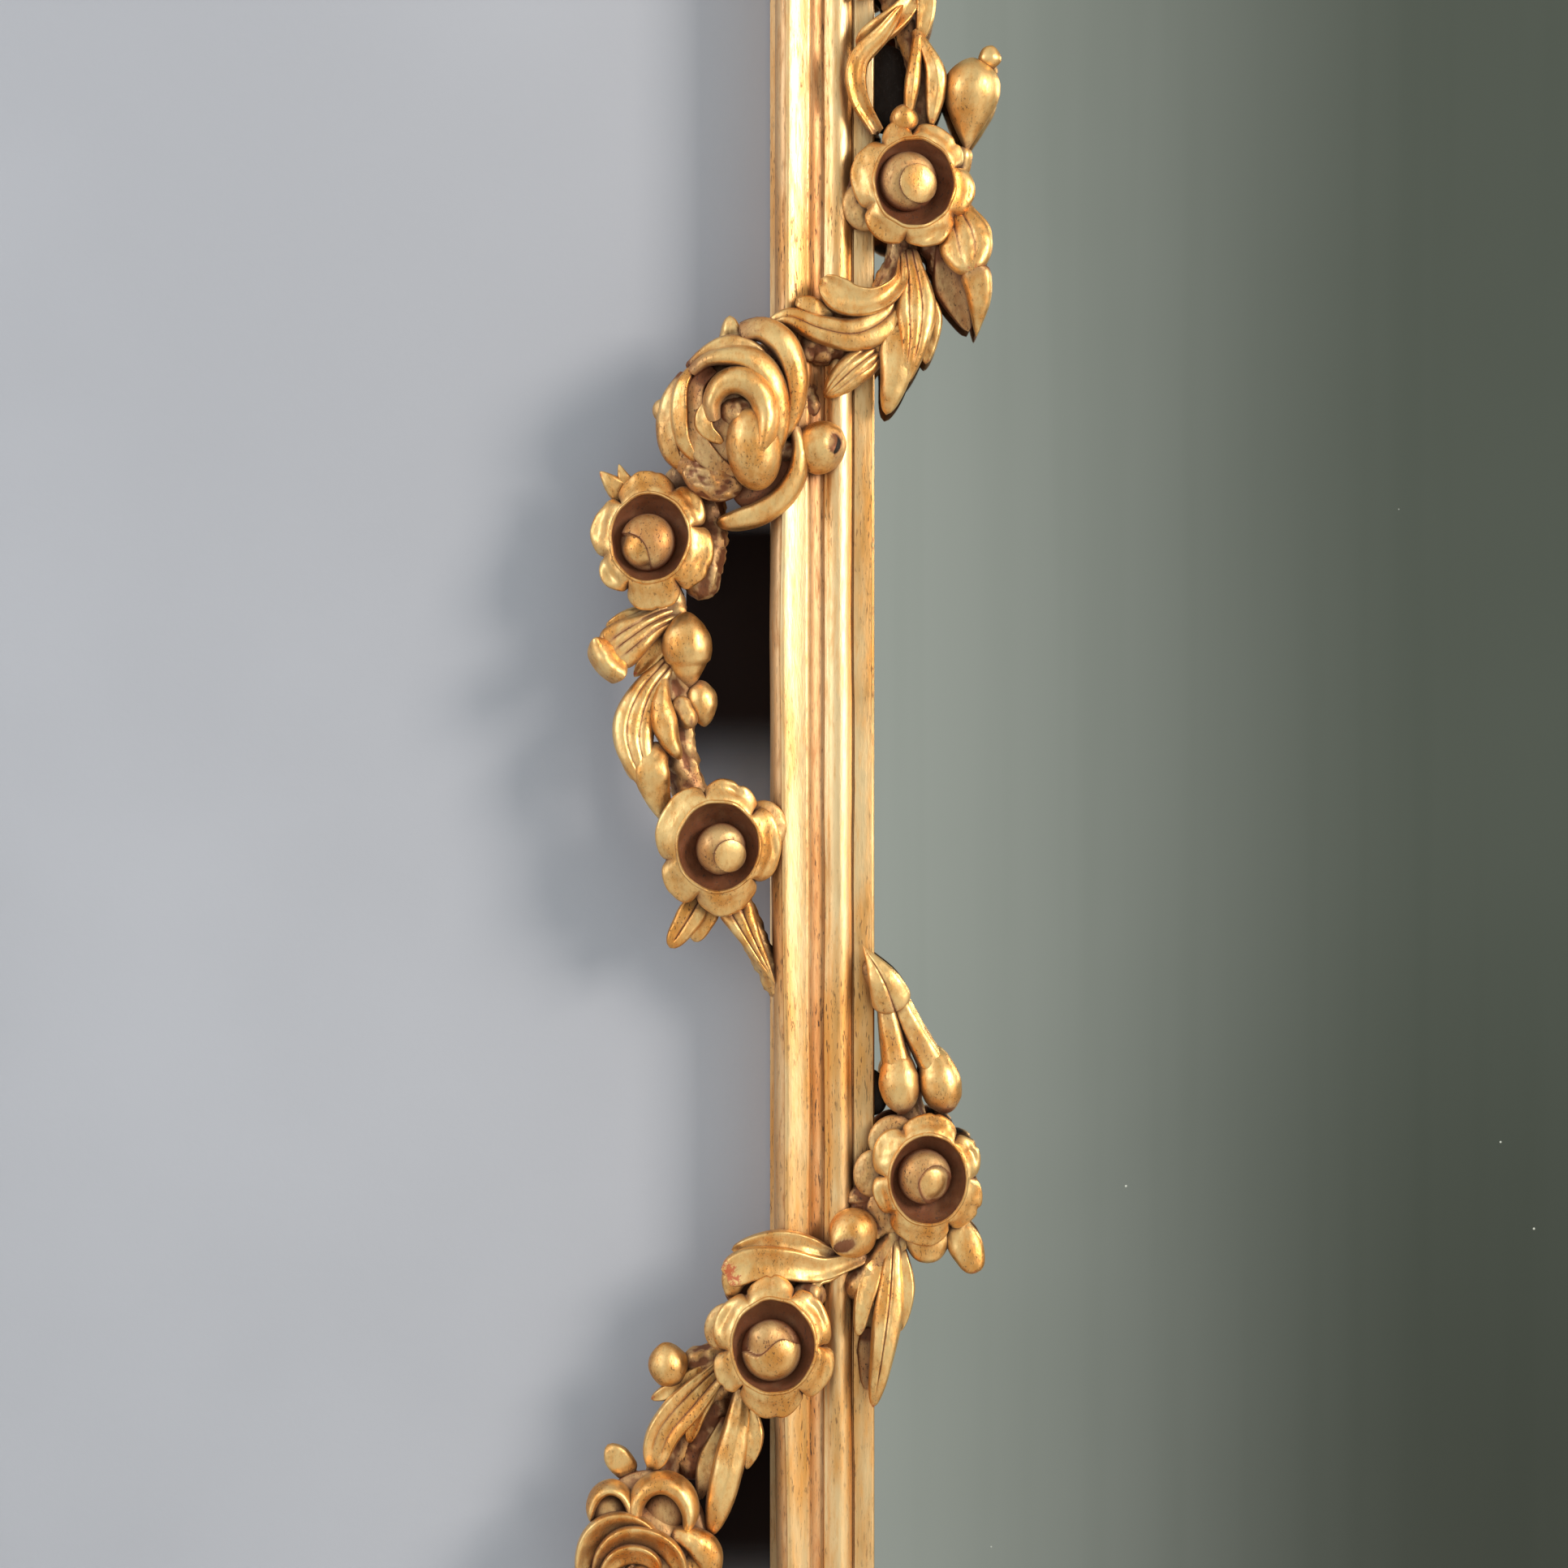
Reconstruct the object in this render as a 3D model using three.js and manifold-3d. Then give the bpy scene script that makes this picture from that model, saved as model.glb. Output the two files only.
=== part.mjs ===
// Carved and gilded pier mirror: a mitred moulding frame wound with carved garlands, a mirror plate
// in its rebate, backboards behind it and two brass wall plates. Millimetres, +Z up, the room on the
// -Y side. The origin is the middle of the backboards' rear face, which lies flat on the wall.
import * as THREE from "three";
import { mergeVertices } from "three/addons/utils/BufferGeometryUtils.js";
import Module from "manifold-3d";

const wasm = await Module();
wasm.setup();

// ---- Driving dimensions ----------------------------------------------------------------------

const FRAME_WIDTH = 820; // over the moulding, without the carving
const FRAME_HEIGHT = 1480;
const SEAT = 0.3; // clearance between pieces that touch

const BOARD_THICKNESS = 10;
const BOARD_COUNT = 3;
const BOARD_JOINT = 0.5;
const GLASS_THICKNESS = 5;
const REBATE_WIDTH = 10;
const REBATE_PLAY = 1.5; // between the rebate and what lies in it

// The moulding's section. Widths follow one another from the outer edge to the glass, and each
// height is given over the one before, from the rebate forward.
const ROUND_WIDTH = 8; // the outer side's rounding
const HOLLOW_WIDTH = 12;
const COVE_WIDTH = 9;
const BEAD_WIDTH = 15;
const SIGHT_WIDTH = 12; // the plain band next to the glass
const SIGHT_LIP = 9; // thickness over the plate, at the sight edge
const SIGHT_FALL = 3;
const BEAD_STEP = 3;
const BEAD_RISE = 5;
const RIDGE_RISE = 9;
const ROUND_HEIGHT = 11;
const HOLLOW_SAG = 1.6;
const CURVE_STEPS = 3; // straight pieces in each curve of the section

const KEY_LEG = 44; // feathers let into the mitres
const KEY_THICKNESS = 4;
const KEY_INSET = 18; // from the wall to the feather

const PLATE_WIDTH = 26; // wall plates
const PLATE_GRIP = 24; // the length that lies on the rail
const PLATE_REACH = 30; // from the rail's edge up to the eye's middle
const PLATE_THICKNESS = 3;
const PLATE_SPACING = 300;
const EYE_RADIUS = 6;
const SCREW_RADIUS = 2;
const SCREW_HEAD_RADIUS = 4;
const SCREW_HEAD = 2.2;
const SCREW_LENGTH = 18;
const SCREW_SPACING = 13;
const SCREW_SIDES = 7;

// Heads: each stands on a flat seat of its own, with its axis square to the seat.
const SEAT_RADIUS = 12;
const SEAT_SIDES = 9; // of the cut that seats each head in its branch
const FLOWER_RADIUS = 34.5;
const FLOWER_DEPTH = 25; // from the seat to the top of the ball
const PETAL_EDGE = 10; // from the seat to the petals' edge
const PETAL_CROWN = 17;
const CUP_LIP = 20;
const CUP_RADIUS = 23;
const CUP_DEPTH = 12;
const BALL_RADIUS = 14;
const BALL_SIDES = 7;
const NOTCH = 0.85; // the outline between two petals, as a share of the head's radius
const ROSE_RADIUS = 37;
const ROSE_DEPTH = 33;
const SEAT_PLAY = 2; // between a head and the wood round its seat
const CLEAR_AHEAD = 80; // how far each head's clearance reaches forward

const STEM_SIDES = 5;
const LEAF_THICKNESS = 5;
const LEAF_STATIONS = 4;
const BUD_SIDES = 6;
const GLASS_AIR = 3; // least air between the carving and the plate

const UPPER_GARLAND = 273; // heights of the garlands' first heads over the frame's middle
const LOWER_GARLAND = -222;
const UPPER_SPRAY = 390; // heights of the sprays' flowers
const LOWER_SPRAY = -134;

// ---- Sizes worked out ------------------------------------------------------------------------

const mouldingWidth = ROUND_WIDTH + HOLLOW_WIDTH + COVE_WIDTH + BEAD_WIDTH + SIGHT_WIDTH;
const glassBack = BOARD_THICKNESS + SEAT;
const glassFront = glassBack + GLASS_THICKNESS;
const lipBack = glassFront + SEAT;
const sightEdgeFront = lipBack + SIGHT_LIP;
const sightFront = sightEdgeFront + SIGHT_FALL;
const valleyFront = sightFront + BEAD_STEP;
const beadFront = valleyFront + BEAD_RISE;
const ridgeFront = valleyFront + RIDGE_RISE;
const halfWidth = FRAME_WIDTH / 2;
const halfHeight = FRAME_HEIGHT / 2;
const rebateWidth = FRAME_WIDTH - 2 * (mouldingWidth - REBATE_WIDTH + REBATE_PLAY);
const rebateHeight = FRAME_HEIGHT - 2 * (mouldingWidth - REBATE_WIDTH + REBATE_PLAY);
const mitreGap = SEAT / Math.SQRT2;

// ---- Materials -------------------------------------------------------------------------------

const gilding = new THREE.MeshStandardMaterial({ color: 0xc39745, roughness: 0.38, metalness: 0.9 });
const silvering = new THREE.MeshStandardMaterial({ color: 0x6c746d, roughness: 0.03, metalness: 1 });
const pine = new THREE.MeshStandardMaterial({ color: 0x8a6a45, roughness: 0.8, metalness: 0 });
const hardwood = new THREE.MeshStandardMaterial({ color: 0x6d4a2c, roughness: 0.75, metalness: 0 });
const brass = new THREE.MeshStandardMaterial({ color: 0xb08d4a, roughness: 0.45, metalness: 1 });
const steel = new THREE.MeshStandardMaterial({ color: 0x77797c, roughness: 0.4, metalness: 1 });

// ---- Solids ----------------------------------------------------------------------------------

// A closed geometry as a solid, whichever way its faces point.
function solid(geometry) {
  const bare = geometry.index ? geometry.toNonIndexed() : geometry.clone();
  bare.deleteAttribute("normal");
  bare.deleteAttribute("uv");
  const merged = mergeVertices(bare, 1e-4);
  const corners = merged.index.array;
  const kept = [];
  for (let i = 0; i < corners.length; i += 3) {
    const [a, b, c] = [corners[i], corners[i + 1], corners[i + 2]];
    if (a !== b && b !== c && c !== a) kept.push(a, b, c);
  }
  const vertProperties = merged.attributes.position.array;
  const made = (triVerts) => new wasm.Manifold(new wasm.Mesh({ numProp: 3, vertProperties, triVerts }));
  const first = made(new Uint32Array(kept));
  return first.volume() > 0 ? first : made(new Uint32Array(kept.reverse()));
}

// A solid as a geometry, without the crumbs that a cut leaves behind: only its largest body.
function geometryOf(body) {
  const largest = body.decompose().reduce((one, other) => (other.volume() > one.volume() ? other : one));
  const { numProp, vertProperties, triVerts } = largest.getMesh();
  const positions = new Float32Array((vertProperties.length / numProp) * 3);
  for (let i = 0; i * numProp < vertProperties.length; i++) {
    positions.set(vertProperties.subarray(i * numProp, i * numProp + 3), i * 3);
  }
  const geometry = new THREE.BufferGeometry();
  geometry.setAttribute("position", new THREE.BufferAttribute(positions, 3));
  geometry.setIndex(new THREE.BufferAttribute(triVerts, 1));
  geometry.computeVertexNormals();
  return geometry;
}

function joined(solids) {
  return solids.reduce((whole, piece) => whole.add(piece));
}

function without(body, cutters) {
  return cutters.reduce((left, cutter) => left.subtract(cutter), body);
}

function named(name, geometry, material) {
  const mesh = new THREE.Mesh(geometry, material);
  mesh.name = name;
  return mesh;
}

// A closed surface of rings round an axis, between two poles. point(ring, side) gives a place, with
// ring 0 and ring rings + 1 as the poles.
function shell(rings, sides, point) {
  const positions = [...point(0, 0)];
  for (let ring = 1; ring <= rings; ring++) {
    for (let side = 0; side < sides; side++) positions.push(...point(ring, side));
  }
  positions.push(...point(rings + 1, 0));
  const at = (ring, side) => 1 + (ring - 1) * sides + (side % sides);
  const last = 1 + rings * sides;
  const index = [];
  for (let side = 0; side < sides; side++) {
    index.push(0, at(1, side), at(1, side + 1));
    for (let ring = 1; ring < rings; ring++) {
      index.push(at(ring, side), at(ring + 1, side), at(ring + 1, side + 1));
      index.push(at(ring, side), at(ring + 1, side + 1), at(ring, side + 1));
    }
    index.push(at(rings, side), last, at(rings, side + 1));
  }
  const geometry = new THREE.BufferGeometry();
  geometry.setAttribute("position", new THREE.Float32BufferAttribute(positions, 3));
  geometry.setIndex(index);
  return geometry;
}

// A turned solid about Z from a profile of [radius, height] pairs that starts and ends on the axis.
function turned(profile, sides) {
  const lathe = new THREE.LatheGeometry(profile.map(([r, h]) => new THREE.Vector2(r, h)), sides);
  return lathe.rotateX(Math.PI / 2);
}

// ---- Moulding frame --------------------------------------------------------------------------

// The section in its own plane: x from the outer edge to the glass, y forward of the wall negated.
function mouldingOutline() {
  const coveStart = ROUND_WIDTH + HOLLOW_WIDTH;
  const valley = coveStart + COVE_WIDTH;
  const groove = valley + BEAD_WIDTH;
  const path = new THREE.Path();
  path.moveTo(0, 0);
  path.lineTo(0, -(ridgeFront - ROUND_HEIGHT));
  path.bezierCurveTo(
    0, -(ridgeFront - ROUND_HEIGHT * 0.4),
    ROUND_WIDTH * 0.5, -ridgeFront,
    ROUND_WIDTH, -ridgeFront,
  );
  path.quadraticCurveTo(ROUND_WIDTH + HOLLOW_WIDTH / 2, -(ridgeFront - 2 * HOLLOW_SAG), coveStart, -ridgeFront);
  path.bezierCurveTo(
    coveStart + COVE_WIDTH * 0.1, -(valleyFront + RIDGE_RISE * 0.4),
    coveStart + COVE_WIDTH * 0.5, -valleyFront,
    valley, -valleyFront,
  );
  path.lineTo(valley + 1, -(valleyFront + BEAD_RISE * 0.6));
  path.bezierCurveTo(
    valley + BEAD_WIDTH * 0.3, -(beadFront + BEAD_RISE * 0.25),
    valley + BEAD_WIDTH * 0.75, -(beadFront + BEAD_RISE * 0.25),
    groove, -sightFront,
  );
  path.lineTo(mouldingWidth - SIGHT_FALL, -(sightEdgeFront + SIGHT_FALL / 2));
  path.quadraticCurveTo(mouldingWidth, -(sightEdgeFront + SIGHT_FALL / 2), mouldingWidth, -sightEdgeFront);
  path.lineTo(mouldingWidth, -lipBack);
  path.lineTo(mouldingWidth - REBATE_WIDTH, -lipBack);
  path.lineTo(mouldingWidth - REBATE_WIDTH, 0);
  return path.getPoints(CURVE_STEPS);
}

// The outline with each edge moved outwards by a clearance.
function grown(outline, clearance) {
  const count = outline.length;
  const normal = (from, to) => new THREE.Vector2(to.y - from.y, from.x - to.x).normalize();
  return outline.map((corner, i) => {
    const before = normal(outline[(i + count - 1) % count], corner);
    const after = normal(corner, outline[(i + 1) % count]);
    const share = clearance / (1 + before.dot(after));
    return corner.clone().add(before.add(after).multiplyScalar(share));
  });
}

// A length of moulding along Z, its middle at 0 and its outer edge at x = 0.
function mouldingPrism(outline, length) {
  const prism = new THREE.ExtrudeGeometry(new THREE.Shape(outline), { depth: length, bevelEnabled: false });
  return prism.translate(0, 0, -length / 2);
}

// A feather in the frame's upper left corner, with the corner at the origin.
function featherGeometry(clearance) {
  const end = KEY_LEG + clearance * (1 + Math.SQRT2);
  const triangle = new THREE.Shape([
    new THREE.Vector2(-clearance, -clearance),
    new THREE.Vector2(end, -clearance),
    new THREE.Vector2(-clearance, end),
  ]);
  const thickness = KEY_THICKNESS + 2 * clearance;
  const prism = new THREE.ExtrudeGeometry(triangle, { depth: thickness, bevelEnabled: false });
  return prism.rotateX(-Math.PI / 2).translate(0, -clearance - KEY_INSET - KEY_THICKNESS, 0);
}

// A stile, or a rail turned upright: both ends mitred and slotted for the feathers.
function mouldingMember(length) {
  const prism = mouldingPrism(mouldingOutline(), length);
  const places = prism.attributes.position;
  for (let i = 0; i < places.count; i++) {
    const end = length / 2 - places.getX(i) - mitreGap;
    places.setZ(i, Math.sign(places.getZ(i)) * end);
  }
  const upperSlot = featherGeometry(SEAT).translate(0, 0, length / 2);
  const lowerSlot = featherGeometry(SEAT).rotateY(-Math.PI / 2).translate(0, 0, -length / 2);
  return without(solid(prism), [solid(upperSlot), solid(lowerSlot)]);
}

// The recess and the screw holes of one wall plate, in the upright rail's own frame.
function plateSeat(along) {
  const depth = PLATE_THICKNESS + SEAT;
  const length = 2 * (PLATE_GRIP + SEAT);
  const recess = new THREE.BoxGeometry(length, 2 * depth, PLATE_WIDTH + 2 * SEAT).translate(0, 0, along);
  const holes = screwInsets().map((inset) => solid(screwGeometry(SEAT).translate(inset, 0, along)));
  return joined([solid(recess), ...holes]);
}

function addFrame(mirror) {
  const stile = geometryOf(mouldingMember(FRAME_HEIGHT));
  const plateSeats = [-PLATE_SPACING / 2, PLATE_SPACING / 2].map(plateSeat);
  const plainRail = mouldingMember(FRAME_WIDTH);
  const members = [
    { name: "stile_left", geometry: stile, quarter: 0, at: [-halfWidth, 0, 0] },
    { name: "rail_top", geometry: geometryOf(without(plainRail, plateSeats)), quarter: 1, at: [0, 0, halfHeight] },
    { name: "stile_right", geometry: stile, quarter: 2, at: [halfWidth, 0, 0] },
    { name: "rail_bottom", geometry: geometryOf(plainRail), quarter: 3, at: [0, 0, -halfHeight] },
  ];
  for (const { name, geometry, quarter, at } of members) {
    const mesh = named(name, geometry, gilding);
    mesh.position.set(...at);
    mesh.rotation.y = (quarter * Math.PI) / 2;
    mirror.add(mesh);
  }
  const corners = [["top_left", -1, 1], ["top_right", 1, 1], ["bottom_right", 1, -1], ["bottom_left", -1, -1]];
  corners.forEach(([corner, x, z], quarter) => {
    const key = named(`mitre_key_${corner}`, featherGeometry(0), hardwood);
    key.position.set(x * halfWidth, 0, z * halfHeight);
    key.rotation.y = (quarter * Math.PI) / 2;
    mirror.add(key);
  });
}

// ---- Plate and boards ------------------------------------------------------------------------

function addPlateAndBoards(mirror) {
  const plate = new THREE.BoxGeometry(rebateWidth, GLASS_THICKNESS, rebateHeight);
  plate.translate(0, -(glassBack + glassFront) / 2, 0);
  mirror.add(named("mirror_plate", plate, silvering));
  const width = (rebateWidth - BOARD_JOINT * (BOARD_COUNT - 1)) / BOARD_COUNT;
  for (let i = 0; i < BOARD_COUNT; i++) {
    const board = new THREE.BoxGeometry(width, BOARD_THICKNESS, rebateHeight);
    const mesh = named(`backboard_${i + 1}`, board, pine);
    mesh.position.set((i - (BOARD_COUNT - 1) / 2) * (width + BOARD_JOINT), -BOARD_THICKNESS / 2, 0);
    mirror.add(mesh);
  }
}

// ---- Wall plates -----------------------------------------------------------------------------

// A countersunk screw driven forward from the wall side, its head level with y = 0.
function screwGeometry(clearance) {
  const profile = [
    [0, clearance],
    [SCREW_HEAD_RADIUS + clearance, clearance],
    [SCREW_RADIUS + clearance, -SCREW_HEAD],
    [SCREW_RADIUS + clearance, -SCREW_LENGTH * 0.8],
    [0, -SCREW_LENGTH - clearance],
  ];
  return new THREE.LatheGeometry(profile.map(([r, h]) => new THREE.Vector2(r, h)), SCREW_SIDES);
}

// How far in from the rail's outer edge each screw stands.
function screwInsets() {
  return [-0.5, 0.5].map((side) => PLATE_GRIP / 2 + side * SCREW_SPACING);
}

// A flat plate with a round head and an eye, its foot on the rail and z = 0 at the rail's edge.
function wallPlateGeometry() {
  const half = PLATE_WIDTH / 2;
  const outline = new THREE.Shape();
  outline.moveTo(-half, -PLATE_GRIP);
  outline.lineTo(half, -PLATE_GRIP);
  outline.lineTo(half, PLATE_REACH);
  outline.absarc(0, PLATE_REACH, half, 0, Math.PI, false);
  outline.lineTo(-half, -PLATE_GRIP);
  const eye = new THREE.Path();
  eye.absarc(0, PLATE_REACH, EYE_RADIUS, 0, 2 * Math.PI, true);
  outline.holes.push(eye);
  const plate = new THREE.ExtrudeGeometry(outline, { depth: PLATE_THICKNESS, bevelEnabled: false, curveSegments: 7 });
  plate.rotateX(Math.PI / 2);
  const holes = screwInsets().map((inset) => solid(screwGeometry(SEAT).translate(0, 0, -inset)));
  return geometryOf(without(solid(plate), holes));
}

function addWallPlates(mirror) {
  for (const [side, sign] of [["left", -1], ["right", 1]]) {
    const group = new THREE.Group();
    group.position.set((sign * PLATE_SPACING) / 2, 0, halfHeight);
    group.add(named(`wall_plate_${side}`, wallPlateGeometry(), brass));
    screwInsets().forEach((inset, i) => {
      const screw = named(`plate_screw_${side}_${i + 1}`, geometryOf(solid(screwGeometry(0))), steel);
      screw.position.z = -inset;
      group.add(screw);
    });
    mirror.add(group);
  }
}

// ---- Carved heads ----------------------------------------------------------------------------

// A head's petals as rings of [reach, rise, share of the notch, turn of the notches in columns], with
// three columns to a petal: the notch between two petals and the petal's two shoulders.
function petalShell(rings, petals, poleRise) {
  const sides = petals * 3;
  return shell(rings.length, sides, (ring, side) => {
    if (ring === 0) return [0, 0, 0];
    if (ring > rings.length) return [0, 0, poleRise];
    const [reach, rise, share, shift] = rings[ring - 1];
    const notched = (side + shift) % 3 === 0;
    const radius = notched ? reach * (1 - share * (1 - NOTCH)) : reach;
    const turn = ((side + shift / 2) / sides) * 2 * Math.PI;
    return [radius * Math.cos(turn), radius * Math.sin(turn), notched ? rise - share * 2 : rise];
  });
}

// An open flower: lobed petals round a deep cup with a ball in it.
function openFlower(petals) {
  const floor = CUP_LIP - CUP_DEPTH;
  const rings = [
    [SEAT_RADIUS, 0, 0, 0],
    [FLOWER_RADIUS, PETAL_EDGE, 1, 0],
    [FLOWER_RADIUS * 0.86, PETAL_CROWN, 0.8, 0],
    [CUP_RADIUS, CUP_LIP, 0, 0],
    [(CUP_RADIUS + BALL_RADIUS) / 2, floor, 0, 0],
  ];
  const ball = [
    [0, floor - 2],
    [BALL_RADIUS * 0.8, floor],
    [BALL_RADIUS, (floor + FLOWER_DEPTH) / 2],
    [BALL_RADIUS * 0.7, FLOWER_DEPTH - BALL_RADIUS * 0.25],
    [0, FLOWER_DEPTH],
  ];
  return solid(petalShell(rings, petals, floor)).add(solid(turned(ball, BALL_SIDES)));
}

// A full rose: three tiers of petals, each set inside the one below, round a closed heart.
function fullRose(petals) {
  const tier = (reach, rise, share, shift) => [ROSE_RADIUS * reach, ROSE_DEPTH * rise, share, shift];
  const rings = [
    [SEAT_RADIUS, 0, 0, 0],
    [ROSE_RADIUS, PETAL_EDGE, 1, 0],
    tier(0.82, 0.55, 0.7, 0),
    tier(0.64, 0.44, 0, 1),
    tier(0.63, 0.72, 1, 1),
    tier(0.44, 0.62, 0, 2),
    tier(0.38, 0.92, 0.8, 2),
  ];
  return solid(petalShell(rings, petals, ROSE_DEPTH));
}

const HEAD_KINDS = {
  flower: { make: openFlower, radius: FLOWER_RADIUS },
  rose: { make: fullRose, radius: ROSE_RADIUS },
};

// ---- Carved branches -------------------------------------------------------------------------

// Places in the carving are [across, forward, up]: forward is from the moulding's outer ridge.
function place([across, forward, up]) {
  return new THREE.Vector3(across, -(ridgeFront + forward), up);
}

function curveThrough(places) {
  return new THREE.CatmullRomCurve3(places.map(place), false, "centripetal");
}

// Two directions square to a curve at t: across the carving, and towards the room.
function squareTo(curve, t) {
  const tangent = curve.getTangent(t);
  const across = new THREE.Vector3(0, -1, 0).cross(tangent).normalize();
  const forward = tangent.clone().cross(across).normalize();
  return { across, forward: forward.y > 0 ? forward.negate() : forward };
}

// A round stem along its places, tapering from one radius to the other.
function stem({ through, radii }) {
  const curve = curveThrough(through);
  const rings = through.length + 1;
  return shell(rings, STEM_SIDES, (ring, side) => {
    const t = ring / (rings + 1);
    const centre = curve.getPoint(t);
    if (ring === 0 || ring > rings) return centre.toArray();
    const { across, forward } = squareTo(curve, t);
    const radius = THREE.MathUtils.lerp(radii[0], radii[1], t);
    const turn = (side / STEM_SIDES) * 2 * Math.PI;
    centre.addScaledVector(across, radius * Math.cos(turn)).addScaledVector(forward, radius * Math.sin(turn));
    return centre.toArray();
  });
}

// A leaf along its places: crowned on both sides of a sunk midrib, widest before its middle.
function leaf({ through, width }) {
  const curve = curveThrough(through);
  const section = [[1, -0.3], [0.5, 1], [0, 0.4], [-0.5, 1], [-1, -0.3]];
  return shell(LEAF_STATIONS, section.length, (ring, side) => {
    const t = ring / (LEAF_STATIONS + 1);
    const centre = curve.getPoint(t);
    if (ring === 0 || ring > LEAF_STATIONS) return centre.toArray();
    const { across, forward } = squareTo(curve, t);
    const half = (width / 2) * Math.sin(Math.PI * t ** 0.75) ** 0.7;
    const [aside, ahead] = section[side];
    const thickness = LEAF_THICKNESS * Math.min(1, half / LEAF_THICKNESS);
    centre.addScaledVector(across, aside * half).addScaledVector(forward, (ahead * thickness) / 1.3);
    return centre.toArray();
  });
}

// An egg-shaped bud about its middle, its thick end away from the tip. A nub stands on some tips.
function bud({ at, tip, radius, length, nub }) {
  const half = length / 2;
  const profile = [[0, -half], [radius * 0.75, -half * 0.7], [radius, -half * 0.1], [radius * 0.6, half * 0.7]];
  if (nub) profile.push([radius * 0.25, half * 0.95], [radius * 0.42, half * 1.2]);
  profile.push([0, half * (nub ? 1.4 : 1)]);
  const toTip = place(tip).sub(place(at)).normalize();
  const turn = new THREE.Quaternion().setFromUnitVectors(new THREE.Vector3(0, 0, 1), toTip);
  const { x, y, z } = place(at);
  return turned(profile, BUD_SIDES).applyQuaternion(turn).translate(x, y, z);
}

// A branch with its heads. "edge" is the moulding's clearance in the branch's own frame, "spaces" are
// other solids that the branch stays out of.
function carving({ name, heads, stems, leaves, buds }, edge, spaces) {
  const group = new THREE.Group();
  const wood = [...stems.map(stem), ...leaves.map(leaf), ...buds.map(bud)].map(solid);
  const clearances = [];
  for (const { part, kind, petals, at, turn, up } of heads) {
    const { make, radius } = HEAD_KINDS[kind];
    const head = new THREE.Object3D();
    head.position.copy(place(at));
    head.rotation.set(THREE.MathUtils.degToRad(90 - up), 0, THREE.MathUtils.degToRad(turn), "ZXY");
    head.updateMatrix();
    const reach = radius + SEAT_PLAY;
    const flat = SEAT_RADIUS + SEAT_PLAY;
    const clearance = turned(
      [[0, -SEAT], [flat, -SEAT], [reach, PETAL_EDGE - SEAT_PLAY], [reach, CLEAR_AHEAD], [0, CLEAR_AHEAD]],
      SEAT_SIDES,
    );
    clearances.push(solid(clearance.applyMatrix4(head.matrix)));
    const edgeSeen = solid(edge.clone().applyMatrix4(head.matrix.clone().invert()));
    const mesh = named(`${name}_${part}`, geometryOf(without(make(petals), [edgeSeen])), gilding);
    mesh.position.copy(head.position);
    mesh.rotation.copy(head.rotation);
    group.add(mesh);
  }
  const branch = without(joined(wood), [solid(edge), ...clearances, ...spaces.map(solid)]);
  group.add(named(`${name}_branch`, geometryOf(branch), gilding));
  return group;
}

// ---- Garlands outside the stiles: across from the outer edge, up from the first head ---------

function upperGarland(name) {
  return {
    name,
    heads: [
      { part: "rose", kind: "rose", petals: 5, at: [-20, -6, 0], turn: -6, up: 4 },
      { part: "flower_1", kind: "flower", petals: 6, at: [-60, -8, -69], turn: -8, up: 6 },
      { part: "flower_2", kind: "flower", petals: 5, at: [-29, -4, -229], turn: 5, up: -6 },
    ],
    stems: [
      {
        through: [[8, -10, 36], [-20, -12, 4], [-58, -14, -66], [-50, -18, -136], [-52, -18, -186],
          [-30, -9, -229], [-12, -14, -272], [6, -12, -308]],
        radii: [9, 7],
      },
      { through: [[-20, -12, -8], [0, 3, -20], [26, 0, -20]], radii: [7, 5] },
    ],
    leaves: [
      { through: [[-20, -12, 12], [-26, -6, 36], [-24, -4, 52]], width: 20 },
      { through: [[-8, 0, -16], [2, -1, -46], [-18, -8, -64]], width: 18 },
      { through: [[-54, -16, -50], [-76, -10, -44], [-88, -6, -34]], width: 18 },
      { through: [[-48, -14, -106], [-74, -5, -120], [-96, -6, -138]], width: 32 },
      { through: [[-54, -14, -128], [-75, -8, -160], [-70, -12, -198]], width: 32 },
      { through: [[-52, -14, -138], [-56, -8, -166], [-50, -10, -190]], width: 22 },
      { through: [[-27, -19, -236], [-46, -12, -262], [-52, -8, -288]], width: 26 },
    ],
    buds: [
      { at: [-42, -6, -127], tip: [-44, -4, -100], radius: 13, length: 38 },
      { at: [-41, -14, -156], tip: [-42, -13, -140], radius: 9, length: 25 },
      { at: [28, -4, -20], tip: [36, 2, -20], radius: 13, length: 25 },
    ],
  };
}

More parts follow.
